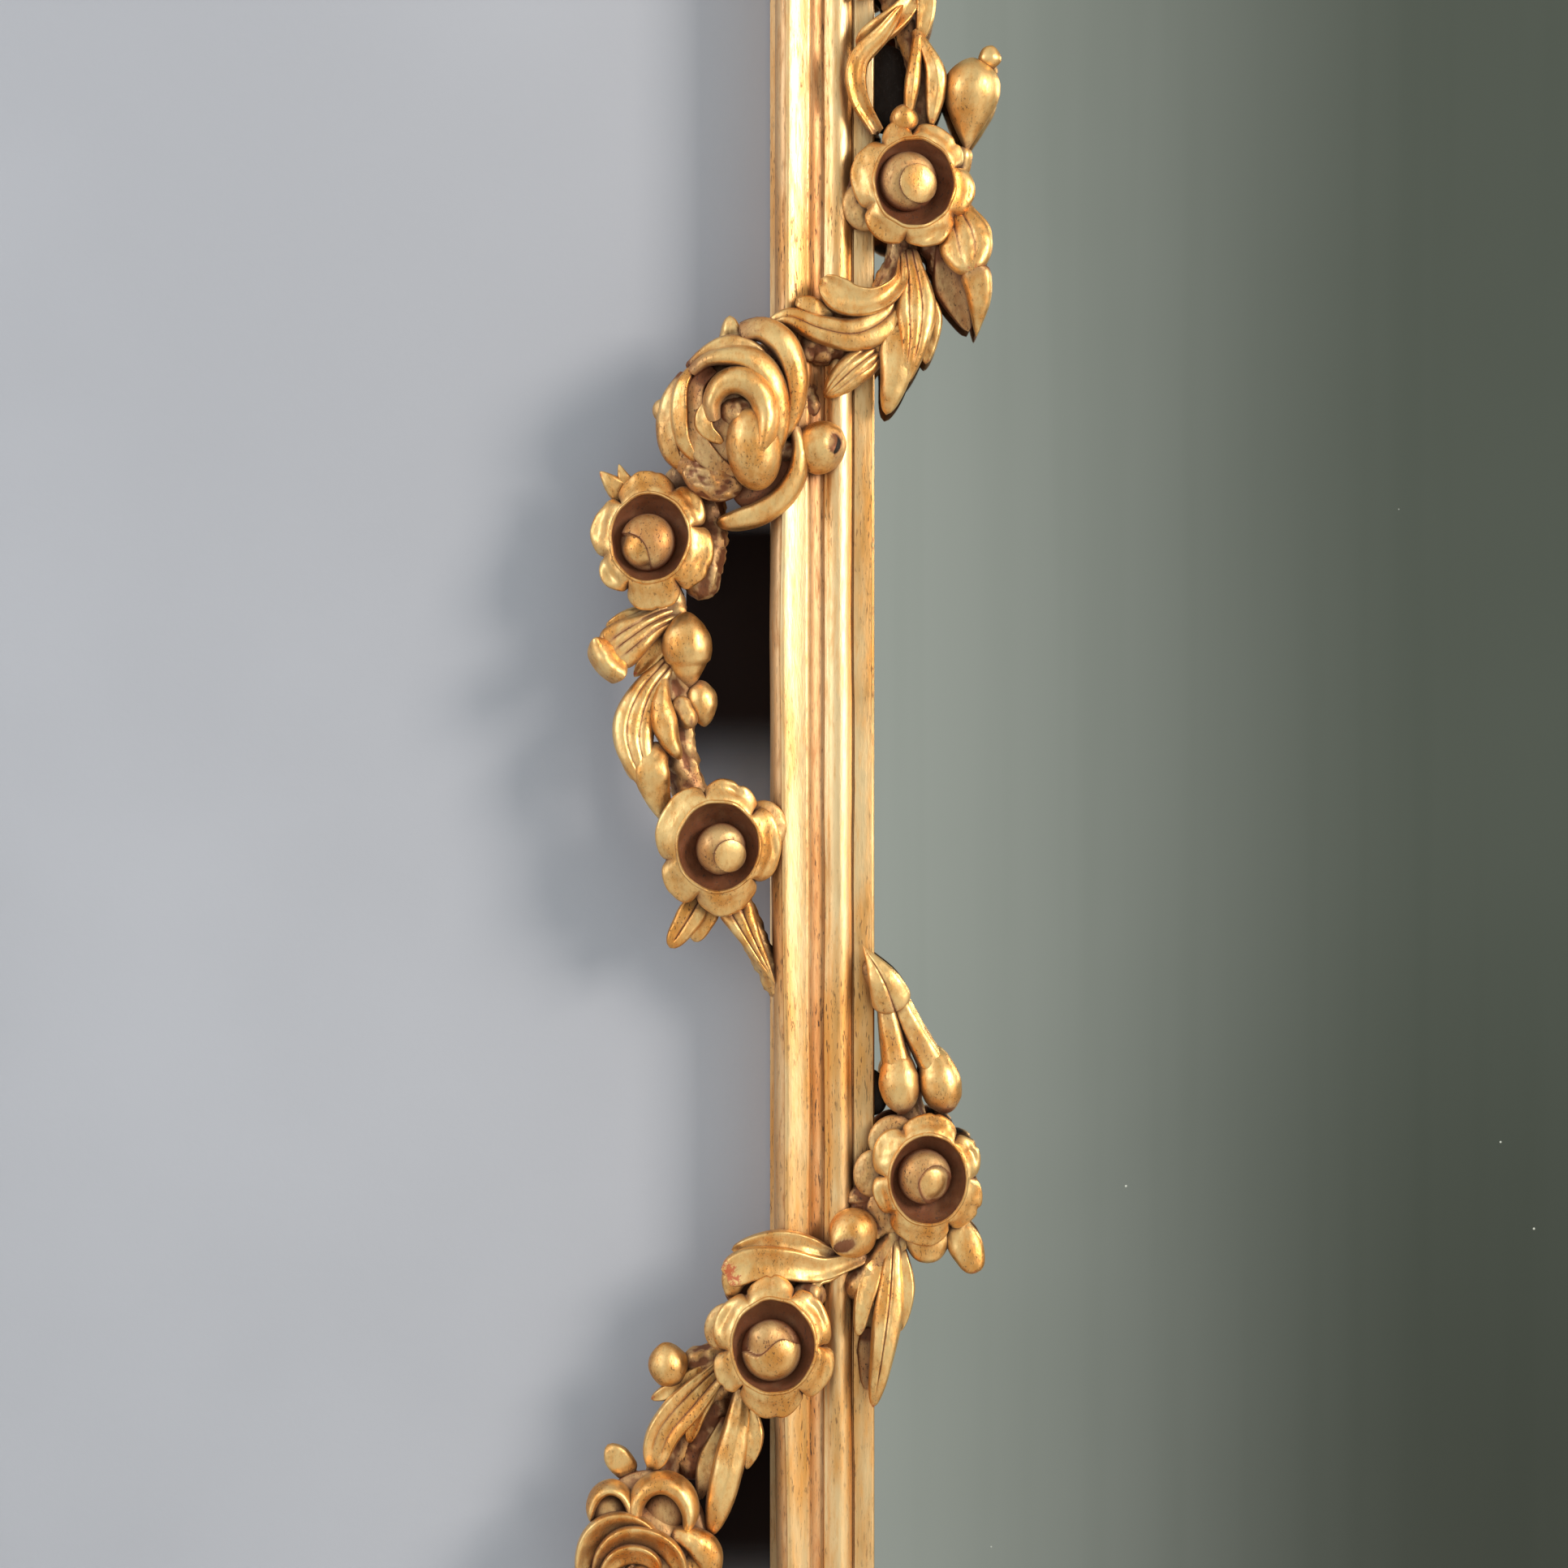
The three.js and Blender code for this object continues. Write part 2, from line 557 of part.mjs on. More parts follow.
function lowerGarland(name) {
  return {
    name,
    heads: [
      { part: "flower_1", kind: "flower", petals: 6, at: [3, 2, 0], turn: -4, up: 4 },
      { part: "rose", kind: "rose", petals: 5, at: [-66, -10, -96], turn: -6, up: 4 },
      { part: "flower_2", kind: "flower", petals: 5, at: [-48, -8, -212], turn: 4, up: -5 },
    ],
    stems: [
      {
        through: [[26, -4, 34], [4, -3, 4], [-30, -16, -26], [-64, -16, -92], [-64, -18, -150],
          [-48, -13, -212], [-22, -16, -270], [6, -12, -322]],
        radii: [9, 7],
      },
      { through: [[-24, -16, -16], [-54, -10, -12]], radii: [6, 5] },
      { through: [[-62, -16, -86], [-85, -12, -60]], radii: [6, 4] },
    ],
    leaves: [
      { through: [[27, -3, 30], [4, 3, 46], [-28, -2, 35]], width: 26 },
      { through: [[-16, -14, -10], [-40, -6, -36], [-67, -6, -72]], width: 36 },
      { through: [[-6, -12, -26], [-19, -8, -62], [-32, -14, -100]], width: 28 },
      { through: [[-64, -16, -124], [-84, -8, -146], [-84, -8, -176]], width: 28 },
      { through: [[-62, -19, -136], [-46, -9, -156], [-24, -12, -168]], width: 24 },
      { through: [[-50, -14, -220], [-66, -8, -242], [-68, -6, -268]], width: 26 },
      { through: [[-30, -14, -240], [-28, -6, -272], [-8, -6, -300]], width: 24 },
    ],
    buds: [
      { at: [-54, -10, -12], tip: [-58, -4, -12], radius: 12.5, length: 25 },
      { at: [-84, -10, -62], tip: [-90, -10, -50], radius: 7, length: 20 },
      { at: [-58, -10, -152], tip: [-56, -8, -172], radius: 10, length: 28 },
    ],
  };
}

// ---- Sprays inside the stiles: across from the sight edge, up from the flower ----------------

function upperSpray(name) {
  return {
    name,
    heads: [{ part: "flower", kind: "flower", petals: 6, at: [18, -10, 0], turn: 2, up: 5 }],
    stems: [
      {
        through: [[-6, -10, 126], [14, -13, 96], [25, -13, 60], [18, -14, 6], [12, -13, -40], [-10, -5, -76],
          [-30, -4, -70]],
        radii: [6, 7],
      },
      { through: [[20, -14, 4], [44, -12, 26], [50, -8, 44]], radii: [8, 6] },
    ],
    leaves: [
      { through: [[20, -12, 80], [6, -6, 104], [-14, -2, 124]], width: 24 },
      { through: [[10, -12, 22], [-8, -6, 56], [6, -10, 92]], width: 16 },
      { through: [[18, -13, -4], [48, -9, -36], [55, -12, -74]], width: 30 },
      { through: [[14, -13, -30], [20, -8, -72], [8, -12, -118]], width: 30 },
      { through: [[14, -10, -36], [-4, 2, -54], [-30, 3, -44]], width: 22 },
      { through: [[8, -8, -50], [-18, 2, -78], [-40, 2, -66], [-58, -1, -70]], width: 26 },
      { through: [[6, -8, -78], [-12, -4, -90], [-28, -2, -103]], width: 20 },
    ],
    buds: [
      { at: [50, -8, 48], tip: [60, -8, 76], radius: 15, length: 48, nub: true },
      { at: [17, -8, 37], tip: [16, 0, 40], radius: 7.5, length: 16 },
    ],
  };
}

function lowerSpray(name) {
  return {
    name,
    heads: [{ part: "flower", kind: "flower", petals: 6, at: [26, -10, 0], turn: 3, up: -3 }],
    stems: [
      {
        through: [[-10, -12, 118], [8, -13, 94], [13, -13, 60], [24, -14, 4], [10, -13, -34], [-12, -8, -66]],
        radii: [6, 8],
      },
      { through: [[8, -13, 94], [26, -13, 74], [34, -13, 50], [28, -15, 6]], radii: [6, 7] },
      { through: [[16, -15, -20], [-12, -6, -29]], radii: [7, 7] },
    ],
    leaves: [
      { through: [[-8, -8, 122], [6, -8, 110], [20, -10, 92]], width: 18 },
      { through: [[22, -14, -16], [26, -11, -34], [25, -12, -52]], width: 24 },
      { through: [[34, -14, -12], [45, -11, -34], [51, -11, -52]], width: 22 },
      { through: [[4, -10, -26], [0, -6, -74], [-2, -14, -120]], width: 34 },
    ],
    buds: [
      { at: [12, -8, 53], tip: [10, -9, 76], radius: 10, length: 38 },
      { at: [34, -8, 53], tip: [28, -9, 76], radius: 11, length: 38 },
      { at: [-14, -2, -30], tip: [-4, -3, -22], radius: 13, length: 30 },
    ],
  };
}

// ---- Crest and foot: across from the frame's middle line, up from the rail's outer edge ------

// A spec with the parts of its right half repeated on the left.
function bothSides({ stems, leaves, buds, middleLeaves, ...rest }) {
  const flip = ([across, forward, up]) => [-across, forward, up];
  const flipped = (part) => ({
    ...part,
    ...(part.through && { through: part.through.map(flip) }),
    ...(part.at && { at: flip(part.at), tip: flip(part.tip) }),
  });
  const twice = (parts) => [...parts, ...parts.map(flipped)];
  return { ...rest, stems: twice(stems), leaves: [...middleLeaves, ...twice(leaves)], buds: twice(buds) };
}

function crest() {
  return bothSides({
    name: "crest",
    heads: [{ part: "rose", kind: "rose", petals: 5, at: [0, -4, 36], turn: 0, up: 4 }],
    middleLeaves: [{ through: [[0, -10, 40], [0, -5, 96], [0, 2, 150]], width: 54 }],
    stems: [
      { through: [[-14, -9, 34], [44, -12, 46], [104, -14, 50], [156, -14, 22], [190, -8, -16]], radii: [11, 7] },
    ],
    leaves: [
      { through: [[20, -14, 46], [44, -6, 82], [42, -2, 122]], width: 38 },
      { through: [[50, -12, 48], [88, -4, 74], [104, -4, 106]], width: 36 },
      { through: [[104, -12, 48], [142, -4, 58], [172, -2, 40]], width: 34 },
      { through: [[150, -10, 20], [206, 0, -10], [262, 1, -22]], width: 28 },
      { through: [[38, -14, 42], [76, -2, 14], [84, 2, -22]], width: 30 },
    ],
    buds: [{ at: [112, -9, 32], tip: [124, -5, 14], radius: 13, length: 36 }],
  });
}

function foot() {
  return bothSides({
    name: "foot",
    heads: [{ part: "rose", kind: "rose", petals: 5, at: [0, 2, 24], turn: 0, up: -4 }],
    middleLeaves: [{ through: [[0, -2, 20], [0, 0, -20], [0, -8, -58]], width: 42 }],
    stems: [{ through: [[-14, -5, 22], [36, -8, -8], [86, -14, -12], [124, -6, 14]], radii: [9, 6] }],
    leaves: [
      { through: [[26, -12, 0], [58, -6, -26], [88, -8, -40]], width: 30 },
      { through: [[70, -10, -8], [118, 0, 8], [168, 1, 26]], width: 28 },
    ],
    buds: [{ at: [104, -6, -14], tip: [118, -6, -22], radius: 10, length: 28 }],
  });
}

// ---- The mirror ------------------------------------------------------------------------------

function addCarvings(mirror) {
  const clearOutline = grown(mouldingOutline(), SEAT);
  const stileEdge = mouldingPrism(clearOutline, 2 * FRAME_HEIGHT);
  const sightEdge = stileEdge.clone().translate(-mouldingWidth, 0, 0);
  const airDepth = glassFront + GLASS_AIR;
  const glassAir = new THREE.BoxGeometry(FRAME_WIDTH, 2 * airDepth, 2 * FRAME_HEIGHT);
  glassAir.translate(halfWidth, 0, 0);
  const garlands = [
    [upperGarland, "garland_upper", UPPER_GARLAND],
    [lowerGarland, "garland_lower", LOWER_GARLAND],
  ];
  const sprays = [
    [upperSpray, "spray_upper", UPPER_SPRAY],
    [lowerSpray, "spray_lower", LOWER_SPRAY],
  ];
  for (const [side, sign] of [["left", -1], ["right", 1]]) {
    const stileSide = new THREE.Group();
    stileSide.scale.x = -sign;
    for (const [spec, name, height] of garlands) {
      const garland = carving(spec(`${name}_${side}`), stileEdge, []);
      garland.position.set(-halfWidth, 0, height);
      stileSide.add(garland);
    }
    for (const [spec, name, height] of sprays) {
      const inner = carving(spec(`${name}_${side}`), sightEdge, [glassAir]);
      inner.position.set(mouldingWidth - halfWidth, 0, height);
      stileSide.add(inner);
    }
    mirror.add(stileSide);
  }
  const railEdge = mouldingPrism(clearOutline, 2 * FRAME_WIDTH);
  const top = carving(crest(), railEdge.clone().rotateY(Math.PI / 2), []);
  top.position.z = halfHeight;
  const bottom = carving(foot(), railEdge.clone().rotateY(-Math.PI / 2), []);
  bottom.position.z = -halfHeight;
  mirror.add(top, bottom);
}

const pierMirror = new THREE.Group();
addFrame(pierMirror);
addPlateAndBoards(pierMirror);
addWallPlates(pierMirror);
addCarvings(pierMirror);

export default pierMirror;
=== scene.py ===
"""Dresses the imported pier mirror: gilded and carved lime wood, old silvered glass, and its pine back.

Every place below is in millimetres in the part's own frame (+Z up, the room on the -Y side), and it
turns to metres when a mesh is made. The places of the carving repeat those of the part's source.
The stage, its lamps and its camera are placed in metres.
"""

import logging
from dataclasses import dataclass, field, replace
from enum import Enum
from functools import partial
from typing import Any, Callable, Sequence

import bpy
import numpy as np
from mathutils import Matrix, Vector


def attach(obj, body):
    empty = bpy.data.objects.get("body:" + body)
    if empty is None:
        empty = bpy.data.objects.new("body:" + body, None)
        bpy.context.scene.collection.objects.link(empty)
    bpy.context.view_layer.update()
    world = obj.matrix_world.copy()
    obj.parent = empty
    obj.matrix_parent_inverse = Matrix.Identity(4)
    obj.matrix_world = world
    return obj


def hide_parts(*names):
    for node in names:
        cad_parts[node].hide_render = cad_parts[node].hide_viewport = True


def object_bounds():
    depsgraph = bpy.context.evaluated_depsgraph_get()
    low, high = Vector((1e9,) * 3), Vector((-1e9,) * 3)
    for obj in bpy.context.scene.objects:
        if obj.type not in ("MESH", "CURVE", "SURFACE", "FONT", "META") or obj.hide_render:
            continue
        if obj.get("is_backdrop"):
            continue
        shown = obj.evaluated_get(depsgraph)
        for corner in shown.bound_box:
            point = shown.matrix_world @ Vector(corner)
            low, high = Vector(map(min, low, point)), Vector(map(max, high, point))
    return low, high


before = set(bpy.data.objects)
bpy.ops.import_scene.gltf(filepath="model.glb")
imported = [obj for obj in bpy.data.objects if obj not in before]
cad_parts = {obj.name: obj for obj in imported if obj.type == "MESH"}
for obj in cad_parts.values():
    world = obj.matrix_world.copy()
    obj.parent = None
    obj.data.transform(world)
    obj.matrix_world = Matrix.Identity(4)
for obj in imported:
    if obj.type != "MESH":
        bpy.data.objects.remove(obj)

Array = np.ndarray
Place = tuple[float, float, float]

MM = 0.001
LOG = logging.getLogger("pier_mirror")

FRAME_WIDTH = 820.0
FRAME_HEIGHT = 1480.0
MOULDING_WIDTH = 56.0
RIDGE_FRONT = 39.6  # from the wall to the moulding's outer ridge
MITRE_GAP = 0.21
UPPER_GARLAND = 273.0
LOWER_GARLAND = -222.0
UPPER_SPRAY = 390.0
LOWER_SPRAY = -134.0


# ---- Numbers ---------------------------------------------------------------------------------


def ripple(points: Array, length: float, seed: int) -> Array:
    """A smooth unevenness of about -1 to 1: the mean of seven plane waves near one wavelength.

    Args:
        points: places, with x, y and z last.
        length: the wavelength, in the places' own unit.
        seed: picks the waves' directions and phases.

    Returns:
        One number for each place.
    """
    rng = np.random.default_rng(seed)
    ways = rng.normal(size=(7, 3))
    ways /= np.linalg.norm(ways, axis=1, keepdims=True)
    waves = ways * (2 * np.pi / length * rng.uniform(0.6, 1.6, 7))[:, None]
    return np.clip(np.sin(points @ waves.T + rng.uniform(0, 2 * np.pi, 7)).mean(-1) * 2.0, -1, 1)


def ease(low: float, high: float, value: Array) -> Array:
    """A smooth step from 0 at low to 1 at high: 3x² - 2x³ of the clipped share."""
    share = np.clip((value - low) / (high - low), 0, 1)
    return share * share * (3 - 2 * share)


def unit(vectors: Array) -> Array:
    """Vectors of length 1, along the last axis."""
    return vectors / np.maximum(np.linalg.norm(vectors, axis=-1, keepdims=True), 1e-9)


@dataclass
class Sweep:
    """A smooth path with two directions square to it: across the carving, and towards the room."""

    centre: Array
    across: Array
    forward: Array
    length: float

    @classmethod
    def through(cls, places: Sequence[Place], count: int) -> "Sweep":
        """A centripetal Catmull-Rom curve, sampled at equal steps of its own length.

        Between two places the curve is the cubic with end slopes s1 and s2, where each slope weighs
        the chords before and after it by the square roots of their lengths.

        Args:
            places: points that the curve passes.
            count: how many samples.

        Returns:
            The path with its directions.
        """
        given = np.asarray(places, float)
        line = np.vstack([2 * given[0] - given[1], given, 2 * given[-1] - given[-2]])
        p0, p1, p2, p3 = line[:-3], line[1:-2], line[2:-1], line[3:]
        root = lambda a, b: np.sqrt(np.linalg.norm(b - a, axis=1, keepdims=True))
        d0, d1, d2 = root(p0, p1), root(p1, p2), root(p2, p3)
        s1 = ((p1 - p0) / d0 - (p2 - p0) / (d0 + d1) + (p2 - p1) / d1) * d1
        s2 = ((p2 - p1) / d1 - (p3 - p1) / (d1 + d2) + (p3 - p2) / d2) * d1
        t = np.linspace(0, 1, 40, endpoint=False)[None, :, None]
        cubic = (
            p1[:, None]
            + s1[:, None] * t
            + (-3 * p1 + 3 * p2 - 2 * s1 - s2)[:, None] * t**2
            + (2 * p1 - 2 * p2 + s1 + s2)[:, None] * t**3
        )
        dense = np.vstack([cubic.reshape(-1, 3), given[-1]])
        run = np.concatenate([[0], np.cumsum(np.linalg.norm(np.diff(dense, axis=0), axis=1))])
        at = np.linspace(0, run[-1], count)
        centre = np.stack([np.interp(at, run, dense[:, i]) for i in range(3)], axis=1)
        along = unit(np.gradient(centre, axis=0))
        across = unit(np.cross(np.array([0.0, -1.0, 0.0]), along))
        forward = np.cross(along, across)
        forward *= np.where(forward[:, 1:2] > 0, -1.0, 1.0)
        return cls(centre, across, forward, float(run[-1]))


# ---- Skins: closed surfaces gathered into one mesh ---------------------------------------------


@dataclass
class Skin:
    """Closed surfaces of one piece, with how deep the toning and the painted shade go and how worn the
    gilding is at each point.
    """

    points: list[Array] = field(default_factory=list)
    faces: list[list[int]] = field(default_factory=list)
    hollow_and_shade: list[Array] = field(default_factory=list)
    worn: list[Array] = field(default_factory=list)
    count: int = 0

    def tube(self, rows: Array, hollow_and_shade: Array | float, worn: Array | float) -> None:
        """Adds a closed surface whose rows are rings; the ends close on each end ring's middle.

        Args:
            rows: places of shape (rings, points in a ring, 3).
            hollow_and_shade: a number for each place, or one for all.
            worn: a number for each place, or one for all.
        """
        rings, around, _ = rows.shape
        flat = np.vstack([rows.reshape(-1, 3), rows[0].mean(0), rows[-1].mean(0)])
        index = np.arange(rings * around).reshape(rings, around)
        after = np.roll(index, -1, axis=1)
        quads = np.stack([index[:-1], index[1:], after[1:], after[:-1]], axis=-1).reshape(-1, 4)
        first, last = rings * around, rings * around + 1
        start = np.stack([np.full(around, first), index[0], after[0]], axis=-1)
        end = np.stack([np.full(around, last), after[-1], index[-1]], axis=-1)
        triangles = np.vstack([quads[:, [0, 1, 2]], quads[:, [0, 2, 3]], start, end])
        corners = flat[triangles]
        volume = np.einsum("ij,ij->i", corners[:, 0], np.cross(corners[:, 1], corners[:, 2])).sum()
        step = -1 if volume < 0 else 1
        self.faces += (quads[:, ::step] + self.count).tolist()
        self.faces += (np.vstack([start, end])[:, ::step] + self.count).tolist()
        shape = (rings, around)
        for kept, value in ((self.hollow_and_shade, hollow_and_shade), (self.worn, worn)):
            grid = np.broadcast_to(np.asarray(value, float), shape)
            kept.append(np.concatenate([grid.ravel(), [grid[0].mean(), grid[-1].mean()]]))
        self.points.append(flat)
        self.count += len(flat)

    def placed(self, turn: Array, at: Array) -> "Skin":
        """The same skin, turned about its origin and moved to a place."""
        return replace(self, points=[p @ turn.T + at for p in self.points])

    def extend(self, other: "Skin") -> None:
        """Takes in another skin's surfaces.

        Args:
            other: the skin whose surfaces come in.
        """
        self.faces += [[i + self.count for i in face] for face in other.faces]
        self.points += other.points
        self.hollow_and_shade += other.hollow_and_shade
        self.worn += other.worn
        self.count += other.count

    def mirrored(self) -> "Skin":
        """The skin seen in the plane x = 0, its faces turned round so that they point outwards."""
        flip = np.array([-1.0, 1.0, 1.0])
        return replace(self, points=[p * flip for p in self.points], faces=[f[::-1] for f in self.faces])

    def piece(self, name: str, finish: bpy.types.Material, crease: float = 42.0) -> bpy.types.Object:
        """Makes the mesh object.

        Args:
            name: the object's name.
            finish: its material.
            crease: edges that turn more than this many degrees stay sharp.

        Returns:
            The new object, at the origin.
        """
        mesh = bpy.data.meshes.new(name)
        mesh.from_pydata((np.vstack(self.points) * MM).tolist(), [], self.faces)
        for label, values in (("hollow_and_shade", self.hollow_and_shade), ("worn", self.worn)):
            layer = mesh.attributes.new(label, "FLOAT", "POINT")
            layer.data.foreach_set("value", np.clip(np.concatenate(values), 0, 1).astype(np.float32))
        mesh.polygons.foreach_set("use_smooth", np.ones(len(mesh.polygons), bool))
        mesh.materials.append(finish)
        mesh.update()
        mesh.set_sharp_from_angle(angle=np.radians(crease))
        made = bpy.data.objects.new(name, mesh)
        bpy.context.scene.collection.objects.link(made)
        return made


def stand_for(piece: bpy.types.Object, node: str) -> None:
    """Lets a piece ride on the mirror in place of the CAD node that it dresses.

    Args:
        piece: the new piece.
        node: the CAD node's name.
    """
    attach(piece, "root")
    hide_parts(node)
    LOG.info("%s stands for %s: %d faces", piece.name, node, len(piece.data.polygons))


# ---- Finishes ----------------------------------------------------------------------------------


def linear(code: str) -> tuple[float, float, float, float]:
    """An sRGB hex colour as linear red, green, blue and alpha.

    Args:
        code: the colour, as # and six digits.

    Returns:
        Four numbers, of which the last is 1.
    """
    share = np.array([int(code[i : i + 2], 16) for i in (1, 3, 5)]) / 255
    value = np.where(share <= 0.04045, share / 12.92, ((share + 0.055) / 1.055) ** 2.4)
    return (*value.tolist(), 1.0)


def per_metre(*sizes: float) -> tuple[float, ...]:
    """How many times patterns of these sizes in millimetres fit in a metre."""
    return tuple(1000 / size for size in sizes)


class Node(Enum):
    """The shader nodes in use: type, the sockets that values fill in order, usual output, settings."""

    PLACE = ("TexCoord", (), "Object", {})
    SCALED = ("Mapping", (0, 3, 1), 0, {})
    SPLIT = ("SeparateXYZ", (0,), 0, {})
    CHANNEL = ("SeparateColor", (0,), 0, {})
    FIELD = ("Attribute", (), "Fac", {})
    COVER = ("AmbientOcclusion", ("Distance",), "AO", {"samples": 6})
    NOISE = ("TexNoise", ("Vector", "Scale", "Detail", "Roughness"), 0, {})
    RINGS = (
        "TexWave",
        ("Vector", "Scale", "Distortion", "Detail", "Detail Scale"),
        "Fac",
        {"bands_direction": "X"},
    )
    CELLS = ("TexVoronoi", ("Vector", "Scale"), "Distance", {"feature": "F1"})
    BLEND = ("Mix", (0, 6, 7), 2, {"data_type": "RGBA"})
    STEP = ("MapRange", (0, 1, 2, 3, 4), 0, {"interpolation_type": "SMOOTHSTEP"})
    TIMES = ("Math", (0, 1), 0, {"operation": "MULTIPLY"})
    TIMES_PLUS = ("Math", (0, 1, 2), 0, {"operation": "MULTIPLY_ADD", "use_clamp": True})
    PLUS = ("Math", (0, 1), 0, {"operation": "ADD", "use_clamp": True})
    LESS = ("Math", (0, 1), 0, {"operation": "SUBTRACT", "use_clamp": True})
    LARGER = ("Math", (0, 1), 0, {"operation": "MAXIMUM"})
    SHIFTED = ("VectorMath", (0, 1), 0, {"operation": "ADD"})
    SHRUNK = ("VectorMath", (0, "Scale"), 0, {"operation": "SCALE"})
    BUMP = ("Bump", ("Height", "Strength", "Distance"), 0, {})
    BEHIND = ("NewGeometry", (), "Backfacing", {})
    RAY = ("LightPath", (), "Is Camera Ray", {})
    PRINCIPLED = ("BsdfPrincipled", ("Base Color", "Roughness", "Metallic", "Normal"), 0, {})
    DIFFUSE = ("BsdfDiffuse", ("Color",), 0, {})
    CLEAR = ("BsdfTransparent", (), 0, {})
    GLOW = ("Background", ("Color", "Strength"), 0, {})
    MIXED = ("MixShader", (0, 1, 2), 0, {})
    SURFACE = ("OutputMaterial", ("Surface",), 0, {})
    WORLD = ("OutputWorld", ("Surface",), 0, {})


def add(tree: bpy.types.NodeTree, node: Node, *values: Any, out: str = "", **settings: Any) -> Any:
    """Adds one shader node with its settings and links.

    Args:
        tree: the material's or the world's node tree.
        node: which node.
        values: for its sockets in order, each a value or a socket to link from.
        out: the name of an output other than the usual one.
        settings: more of the node's own properties.

    Returns:
        The output, or None where the node ends the tree.
    """
    kind, sockets, usual, fixed = node.value
    made = tree.nodes.new("ShaderNode" + kind)
    for key, value in {**fixed, **settings}.items():
        setattr(made, key, value)
    for key, value in zip(sockets, values):
        if isinstance(value, bpy.types.NodeSocket):
            tree.links.new(value, made.inputs[key])
        else:
            made.inputs[key].default_value = value
    return made.outputs[out or usual] if made.outputs else None


def begin(name: str) -> tuple[bpy.types.Material, Callable[..., Any]]:
    """A new material without nodes, and the function that adds them to it.

    Args:
        name: the material's name.

    Returns:
        The material, and the function.
    """
    material = bpy.data.materials.new(name)
    material.use_nodes = True
    material.node_tree.nodes.clear()
    return material, partial(add, material.node_tree)


class Grain(Enum):
    """Which way the wood, and so the brushed gesso under the leaf, runs."""

    UPRIGHT = (1.0, 1.0, 0.16)
    LEVEL = (0.16, 1.0, 1.0)
    CARVED = (1.0, 1.0, 0.55)


